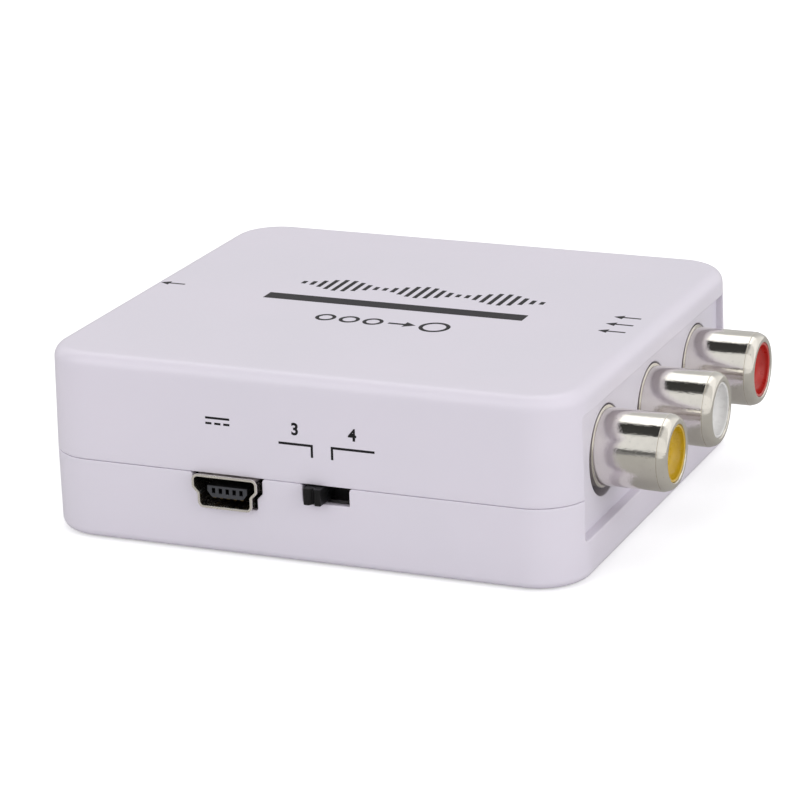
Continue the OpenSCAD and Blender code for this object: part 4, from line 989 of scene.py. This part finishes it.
class MODULATOR_OT_prints(bpy.types.Operator):
    """Builds the printed marks: a bar and plain signs on the top, brackets and numbers over the switch."""

    bl_idname = "modulator.prints"
    bl_label = "Printed Marks"

    def execute(self, context):
        settings = context.scene.modulator
        form = CaseForm(settings)
        thick = form.s.print_thickness
        deep = thick + PRINT_ROOT
        black = printed("black ink", settings.colours.ink)

        def on_top(outline, back):
            return np.insert(outline, 2, form.top - back * deep, axis=1)

        def on_front(outline, back):
            wall = form.top_lean(outline[:, 1]) - form.half_d
            return np.insert(outline, 1, wall - thick + back * deep, axis=1)

        flat_mark("top_bar_print", [box_outline(*BAR)], on_top, printed("bar ink", settings.colours.bar))
        # A row of strokes whose height swells and shrinks, as a carrier's does
        x = np.linspace(*WAVE_PLACES)
        swell = np.sin(np.pi * (x - x[0]) / WAVE_LENGTH) ** 2
        half = WAVE_HALF * (WAVE_LEAST + (1 - WAVE_LEAST) * swell)
        strokes = [box_outline(a - WAVE_HALF_STROKE, WAVE_Y - h, a + WAVE_HALF_STROKE, WAVE_Y + h)
                   for a, h in zip(x, half)]
        flat_mark("top_wave_print", strokes, on_top, black)
        rings = sum((ring_outlines(x, SIGN_Y, r, width) for x, r, width in SIGN_RINGS), [])
        flat_mark("top_sign_print", rings + [arrow_outline(SIGN_Y, *SIGN_ARROW)], on_top, black)
        for name, (tip, tail, places) in SIDE_ARROWS.items():
            for i, y in enumerate(places, 1):
                arrow = arrow_outline(y, tip, tail, *SIDE_HEAD)
                flat_mark(f"{name}_arrow_print_{i}", [arrow], on_top, black)

        brackets, w = [], BRACKET_HALF_LINE
        for corner, end, height, foot in BRACKETS:
            near = corner + np.sign(corner - end) * w
            brackets += [box_outline(min(near, end), height - w, max(near, end), height + w),
                         box_outline(corner - w, foot, corner + w, height - w)]
        flat_mark("switch_bracket_print", brackets, on_front, black)
        flat_mark("power_sign_print", [box_outline(*corners) for corners in CURRENT_SIGN], on_front, black)
        for name, x in NUMBER_PLACES.items():
            curve = bpy.data.curves.new(name, "FONT")
            curve.body = getattr(settings, f"{name}_number")
            curve.size, curve.offset, curve.extrude = NUMBER_SIZE * MM, NUMBER_WEIGHT * MM, 0.5 * deep * MM
            curve.align_x, curve.align_y = "CENTER", "BOTTOM_BASELINE"
            holder = placed(name, curve)
            context.view_layer.update()
            mesh = bpy.data.meshes.new_from_object(holder.evaluated_get(context.evaluated_depsgraph_get()))
            bpy.data.objects.remove(holder)
            y = form.top_lean(NUMBER_BASELINE + NUMBER_MIDDLE) - form.half_d - thick / 2 + PRINT_ROOT / 2
            place = Matrix.Translation(Vector((x, y, NUMBER_BASELINE)) * MM)
            mesh.transform(place @ Matrix.Rotation(np.pi / 2, 4, "X"))
            put(f"{name}_number_print", mesh, "case", black)
        return {"FINISHED"}


# Finishes


class Nodes:
    """A node tree, with short ways to add and join nodes. An input is given a number, a colour, a vector or
    another node's socket."""

    def __init__(self, owner, output):
        owner.use_nodes = True
        self.tree = owner.node_tree
        self.tree.nodes.clear()
        self.output = self.node(output)

    def node(self, kind, inputs=None, **settings):
        node = self.tree.nodes.new(f"ShaderNode{kind}")
        for name, value in settings.items():
            setattr(node, name, value)
        for name, value in (inputs or {}).items():
            self.give(node.inputs[name], value)
        return node

    def give(self, socket, value):
        if isinstance(value, bpy.types.NodeSocket):
            self.tree.links.new(value, socket)
        elif socket.type == "RGBA":
            socket.default_value = (*value, 1)
        else:
            socket.default_value = value

    def span(self, value, from_low, from_high, to_low=0.0, to_high=1.0):
        return self.node("MapRange", {"Value": value, "From Min": from_low, "From Max": from_high,
                                      "To Min": to_low, "To Max": to_high}).outputs[0]

    def math(self, way, a, b):
        return self.node("Math", {0: a, 1: b}, operation=way).outputs[0]

    def mix(self, share, a, b, way="MIX"):
        return self.node("Mix", {0: share, 6: a, 7: b}, data_type="RGBA", blend_type=way).outputs[2]


class Finish(Nodes):
    """A material's node tree round one shader."""

    def __init__(self, name):
        self.material = bpy.data.materials.new(name)
        super().__init__(self.material, "OutputMaterial")
        self.shader = self.node("BsdfPrincipled")
        self.give(self.output.inputs["Surface"], self.shader.outputs[0])
        self.place = self.node("TexCoord").outputs["Object"]

    def scaled(self, x, y, z):
        return self.node("Mapping", {"Vector": self.place, "Scale": (x, y, z)}).outputs[0]

    def noise(self, scale, detail=3.0, roughness=0.55, vector=None):
        """Cloudy noise with this many waves a metre."""
        return self.node("TexNoise", {"Vector": vector or self.place, "Scale": scale, "Detail": detail,
                                      "Roughness": roughness}).outputs["Fac"]

    def cells(self, scale):
        return self.node("TexVoronoi", {"Vector": self.place, "Scale": scale}).outputs["Distance"]

    def bump(self, height, depth_mm, strength):
        node = self.node("Bump", {"Height": height, "Distance": depth_mm * MM, "Strength": strength})
        self.give(self.shader.inputs["Normal"], node.outputs[0])

    def done(self, tone, rough, **values):
        """The material, with its colour, roughness and other values, whose names have _ for a space."""
        for name, value in {"Base Color": tone, "Roughness": rough, **values}.items():
            self.give(self.shader.inputs[name.replace("_", " ")], value)
        return self.material


def tinted(base, factor):
    return tuple(min(1.0, c * factor) for c in base)


def lifted(base, factor, lift):
    return tuple(c * factor + lift for c in base)


def moulded(name, base):
    """Satin moulded plastic: slow changes of tone where the melt flowed, and a fine grain."""
    f = Finish(name)
    fine = f.noise(2600)
    rosier = (base[0] * 1.012, base[1], base[2] * 1.006)
    flow = f.mix(f.span(f.noise(55, 2.0), 0.3, 0.7), tinted(base, 0.985), rosier)
    tone = f.mix(0.6, flow, f.span(f.cells(900), 0.0, 0.035, 0.93, 1.0), "MULTIPLY")
    f.bump(f.math("ADD", f.span(fine, 0, 1, 0, 0.35), f.noise(350, 2.0)), 0.012, 0.5)
    return f.done(tone, f.span(fine, 0.3, 0.7, 0.30, 0.37))


def plated(name, base, dull=0.055):
    """Bright plating over brass, with pits, fine scuffs and patches where the polish is duller."""
    f = Finish(name)
    patch, pits = f.noise(420, 4.0, 0.6), f.noise(3800, 4.0, 0.7)
    scuffs = f.noise(1500, 3.0, 0.6, f.scaled(0.35, 1.6, 1.6))
    tone = f.mix(f.span(patch, 0.35, 0.68), tinted(base, 0.93), base)
    tone = f.mix(f.span(pits, 0.66, 0.72, 0, 0.75), tone, tinted(base, 0.3))
    rough = f.math("ADD", f.span(patch, 0.3, 0.7, dull * 0.6, dull * 1.3), f.span(pits, 0.5, 0.75, 0, 0.12))
    f.bump(f.math("ADD", f.span(pits, 0.35, 0.7, 0, 0.5), f.span(scuffs, 0.3, 0.7, 0, 0.8)), 0.011, 0.55)
    return f.done(tone, rough, Metallic=1.0)


def glossy(name, base):
    """Glossy insert plastic with a faint cloud in its tone."""
    f = Finish(name)
    tone = f.mix(f.span(f.noise(700, 2.0), 0.3, 0.7), tinted(base, 0.9), base)
    f.bump(f.noise(900, 2.0), 0.003, 0.15)
    return f.done(tone, f.span(f.noise(1400, 2.0), 0.3, 0.7, 0.26, 0.32), IOR=1.49, Coat_Weight=0.5,
                  Coat_Roughness=0.12)


def matte(name, base, rough=0.5, behind=None):
    """Plain black or grey moulding with a fine sparkle in its gloss and rubbed, paler high spots. Behind is a
    darker colour for painted shade and the place along Y, in millimetres, from which the piece has it."""
    f = Finish(name)
    grain = f.noise(5200, 3.0, 0.6)
    tone = f.mix(f.span(f.noise(900, 4.0, 0.65), 0.55, 0.8), base, lifted(base, 1.5, 0.004))
    if behind:
        # Painted shade: the darker colour from this place along Y onwards
        darker, from_y = behind
        y = f.node("SeparateXYZ", {0: f.place}).outputs["Y"]
        tone = f.mix(f.span(y, (from_y - 0.06) * MM, (from_y + 0.06) * MM), tone, darker)
    f.bump(grain, 0.01, 0.5)
    return f.done(tone, f.span(grain, 0.3, 0.7, rough - 0.07, rough + 0.07), Specular_IOR_Level=0.2)


def printed(name, base):
    """Screen-printed ink with a slightly broken edge of gloss."""
    f = Finish(name)
    grain = f.noise(6500, 3.0, 0.6)
    tone = f.mix(f.span(grain, 0.4, 0.8), base, lifted(base, 1.3, 0.008))
    return f.done(tone, f.span(grain, 0.3, 0.7, 0.4, 0.55), IOR=1.48, Specular_IOR_Level=0.12)


def tinned(name, base):
    """Dull tinned sheet with crystal patches and rolling lines."""
    f = Finish(name)
    lines = f.noise(900, 3.0, 0.6, f.scaled(6, 0.4, 1))
    tone = f.mix(f.span(f.cells(700), 0.1, 0.7), tinted(base, 0.86), base)
    f.bump(lines, 0.008, 0.4)
    return f.done(tone, f.span(lines, 0.3, 0.7, 0.28, 0.42), Metallic=1.0)


def laminate(name, base, weave=2600):
    """Laminate whose cloth shows faintly through its surface, as crossed waves."""
    f = Finish(name)
    inputs = {"Vector": f.place, "Scale": weave / 6, "Distortion": 0.6}
    waves = [f.node("TexWave", inputs, bands_direction=way) for way in ("X", "Y")]
    cloth = f.math("MULTIPLY", *(wave.outputs["Fac"] for wave in waves))
    f.bump(cloth, 0.01, 0.4)
    return f.done(f.mix(cloth, tinted(base, 0.85), tinted(base, 1.15)), f.span(cloth, 0, 1, 0.32, 0.46))


class MODULATOR_OT_inner_finishes(bpy.types.Operator):
    """Gives the pieces inside, and those that keep their plain form, their finishes."""

    bl_idname = "modulator.inner_finishes"
    bl_label = "Inner Finishes"

    def execute(self, context):
        c = context.scene.modulator.colours
        black = matte("inner black moulding", c.black, 0.5)
        tin = tinned("tinned sheet", c.tin)
        brass = plated("contact plating", c.brass, 0.3)
        chips = matte("chip moulding", tinted(c.black, 2.2), 0.55)
        finishes = {
            laminate("board laminate", c.green): ["circuit_board"],
            black: ["jack_housing", "capacitor_bases"],
            brass: ["yellow_jack_contact", "white_jack_contact", "red_jack_contact", "switch_terminals",
                    "switch_wiper", "rf_socket_contact"],
            # Painted shade: the power socket's contacts have the brass at a quarter of its brightness, as
            # they sit in shade
            plated("shaded contact plating", tinted(c.brass, 0.25), 0.4): ["usb_contacts"],
            tin: ["jack_ground_tags", "switch_frame", "modulator_shield", "shield_lid",
                  "modulator_chip_legs", "tuning_coil_can", "crystal", "regulator_leads"],
            laminate("brown laminate", c.brown, 4200): ["switch_base"],
            matte("waxy insulator", c.waxy, 0.45): ["rf_socket_insulator"],
            chips: ["modulator_chip", "voltage_regulator", "transistors", "chip_resistors"],
            matte("ferrite", (0.035, 0.031, 0.03), 0.62): ["tuning_slug", "power_inductor"],
            tinned("capacitor can", (0.7, 0.7, 0.71)): ["capacitor_cans"],
            matte("capacitor ceramic", (0.33, 0.2, 0.1), 0.45): ["chip_capacitors"],
        }
        for finish, names in finishes.items():
            for name in names:
                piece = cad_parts[name]
                piece.data.materials.clear()
                piece.data.materials.append(finish)
        return {"FINISHED"}


# Stage

# Where the camera stands, in millimetres, and its own right and up directions
CAMERA_PLACE = (141.84, -327.07, 126.11)
CAMERA_RIGHT = (0.9218, 0.38652, -0.02967)
CAMERA_UP = (-0.09442, 0.29807, 0.94986)
FOCUS_PIXELS = 3375.9
PICTURE_PIXELS = 810
MIDDLE_PIXELS = (407.2, 399.8)
SENSOR_WIDTH = 36
FLOOR_REACH = 6000.0
FLOOR_Z = -0.15
# Lamps: place and size in metres, and power in watts
LAMPS = {
    "over_light": ((-0.12, 0.12, 0.75), (0.9, 0.7), 1.3),
    "front_light": ((-0.55, -0.9, 0.55), (0.9, 0.7), 3.1),
    "side_light": ((1.0, -0.25, 0.5), (0.8, 0.7), 4.4),
}
# What mirrors see round the X axis: pairs of an angle from straight up, in degrees towards +Y, and a level
BANDS = ((-180, 0.5), (-95, 0.5), (-80, 0.12), (-75, 0.12), (-72, 0.85), (-30, 0.85), (-27, 0.05), (8, 0.04),
         (10, 1.5), (42, 1.5), (46, 0.6), (90, 0.6), (180, 0.5))
# The floor's own glow, for the camera and for mirrors
FLOOR_GLOW, MIRROR_GLOW = 0.42, 0.05


class MODULATOR_OT_stage(bpy.types.Operator):
    """Builds the pale floor, the soft lights, the surroundings that the metal mirrors, and the camera."""

    bl_idname = "modulator.stage"
    bl_label = "Stage"

    def execute(self, context):
        scene = context.scene
        scene.view_settings.view_transform = "Standard"
        self.floor()
        self.surroundings(scene)
        for name, (place, size, power) in LAMPS.items():
            data = bpy.data.lights.new(name, "AREA")
            data.shape = "RECTANGLE"
            data.size, data.size_y = size
            data.energy = power
            lamp = placed(name, data)
            lamp.location = place
            lamp.rotation_mode = "QUATERNION"
            lamp.rotation_quaternion = (Vector((0, 0, 0.01)) - Vector(place)).to_track_quat("-Z", "Y")
            lamp.visible_glossy = False

        data = bpy.data.cameras.new("camera")
        camera = placed("camera", data)
        right, up = Vector(CAMERA_RIGHT).normalized(), Vector(CAMERA_UP).normalized()
        back = right.cross(up).normalized()
        turn = Matrix((right, back.cross(right), back)).transposed().to_4x4()
        camera.matrix_world = Matrix.Translation(Vector(CAMERA_PLACE) * MM) @ turn
        data.sensor_width = SENSOR_WIDTH
        data.lens = FOCUS_PIXELS / PICTURE_PIXELS * SENSOR_WIDTH
        data.shift_x = (PICTURE_PIXELS / 2 - 0.5 - MIDDLE_PIXELS[0]) / PICTURE_PIXELS
        data.shift_y = (MIDDLE_PIXELS[1] - PICTURE_PIXELS / 2 + 0.5) / PICTURE_PIXELS
        data.clip_start, data.clip_end = 0.01, 20
        scene.camera = camera
        return {"FINISHED"}

    @staticmethod
    def floor():
        """A sheet of points on a square grid. It is pale, glows for the camera and is darker for mirrors."""
        u = np.linspace(-FLOOR_REACH, FLOOR_REACH, 5)
        skin = Skin()
        skin.grid(np.stack(np.broadcast_arrays(u, u[:, None], FLOOR_Z), axis=-1))
        mesh = skin.build("floor")
        floor = placed("floor", mesh)
        f = Finish("pale floor")
        rays = f.node("LightPath").outputs
        pale = f.mix(f.noise(30), (0.80, 0.80, 0.81), (0.83, 0.83, 0.835))
        f.done(f.mix(rays["Is Glossy Ray"], pale, (0.42, 0.41, 0.385)), 0.9, Specular_IOR_Level=0.1)
        mirrored = f.math("MAXIMUM", rays["Is Glossy Ray"], rays["Is Transmission Ray"])
        direct = f.math("MULTIPLY", rays["Is Camera Ray"], FLOOR_GLOW)
        seen = f.math("MAXIMUM", direct, f.math("MULTIPLY", mirrored, MIRROR_GLOW))
        glow = f.node("Emission", {"Strength": seen})
        both = f.node("AddShader", {0: f.shader.outputs[0], 1: glow.outputs[0]})
        f.give(f.output.inputs["Surface"], both.outputs[0])
        mesh.materials.append(f.material)

    @staticmethod
    def surroundings(scene):
        """World light: white for the camera, even for dull surfaces, and for mirrors bands of light and dark
        round the X axis, by a ray's angle from straight up, atan2(y, z). Towards +X they fade into a bright
        side."""
        scene.world = bpy.data.worlds.new("studio")
        w = Nodes(scene.world, "OutputWorld")
        rays = w.node("LightPath").outputs
        way = w.node("SeparateXYZ", {0: w.node("TexCoord").outputs["Generated"]}).outputs
        share = w.span(w.math("ARCTAN2", way["Y"], way["Z"]), -np.pi, np.pi)
        ramp = w.node("ValToRGB", {"Fac": share})
        elements = ramp.color_ramp.elements
        for i, (degrees, level) in enumerate(BANDS):
            spot = (degrees + 180) / 360
            element = elements[i] if i < 2 else elements.new(spot)
            element.position = spot
            element.color = (level, level, level * 0.985, 1)
        bright = w.mix(w.span(way["X"], 0.0, 0.3, 0.0, 0.8), ramp.outputs["Color"], (1.0, 0.985, 0.95))

        def background(strength, tone=(1.0, 1.0, 1.0)):
            return w.node("Background", {"Color": tone, "Strength": strength}).outputs[0]

        def choose(factor, first, second):
            return w.node("MixShader", {0: factor, 1: first, 2: second}).outputs[0]

        light = choose(rays["Is Glossy Ray"], background(0.6), background(1.0, bright))
        for kind in ("Is Camera Ray", "Is Transmission Ray"):
            light = choose(rays[kind], light, background(1.0))
        w.give(w.output.inputs["Surface"], light)


class MODULATOR_PT_panel(bpy.types.Panel):
    """Lists the steps and the settings in the 3D view's sidebar."""

    bl_label = "Modulator Box"
    bl_idname = "MODULATOR_PT_panel"
    bl_space_type = "VIEW_3D"
    bl_region_type = "UI"
    bl_category = "Modulator"

    def draw(self, context):
        settings = context.scene.modulator
        for operator in OPERATORS:
            self.layout.operator(operator.bl_idname)
        for name in ("case", "jacks", "sockets", "colours"):
            group = getattr(settings, name)
            box = self.layout.box()
            box.label(text=name.capitalize())
            for field in group.__annotations__:
                box.prop(group, field)
        self.layout.prop(settings, "left_number")
        self.layout.prop(settings, "right_number")


OPERATORS = (
    MODULATOR_OT_case, MODULATOR_OT_side_panels, MODULATOR_OT_jacks, MODULATOR_OT_power_socket,
    MODULATOR_OT_knob, MODULATOR_OT_aerial_socket, MODULATOR_OT_prints, MODULATOR_OT_inner_finishes,
    MODULATOR_OT_stage,
)
CLASSES = (CaseSizes, JackSizes, SocketSizes, Colours, ModulatorSettings, *OPERATORS, MODULATOR_PT_panel)


def register():
    for item in CLASSES:
        bpy.utils.register_class(item)
    bpy.types.Scene.modulator = PointerProperty(type=ModulatorSettings)


def unregister():
    del bpy.types.Scene.modulator
    for item in reversed(CLASSES):
        bpy.utils.unregister_class(item)


def main():
    register()
    bpy.ops.modulator.case()
    bpy.ops.modulator.side_panels()
    bpy.ops.modulator.jacks()
    bpy.ops.modulator.power_socket()
    bpy.ops.modulator.knob()
    bpy.ops.modulator.aerial_socket()
    bpy.ops.modulator.prints()
    bpy.ops.modulator.inner_finishes()
    bpy.ops.modulator.stage()


if __name__ == "__main__":
    main()
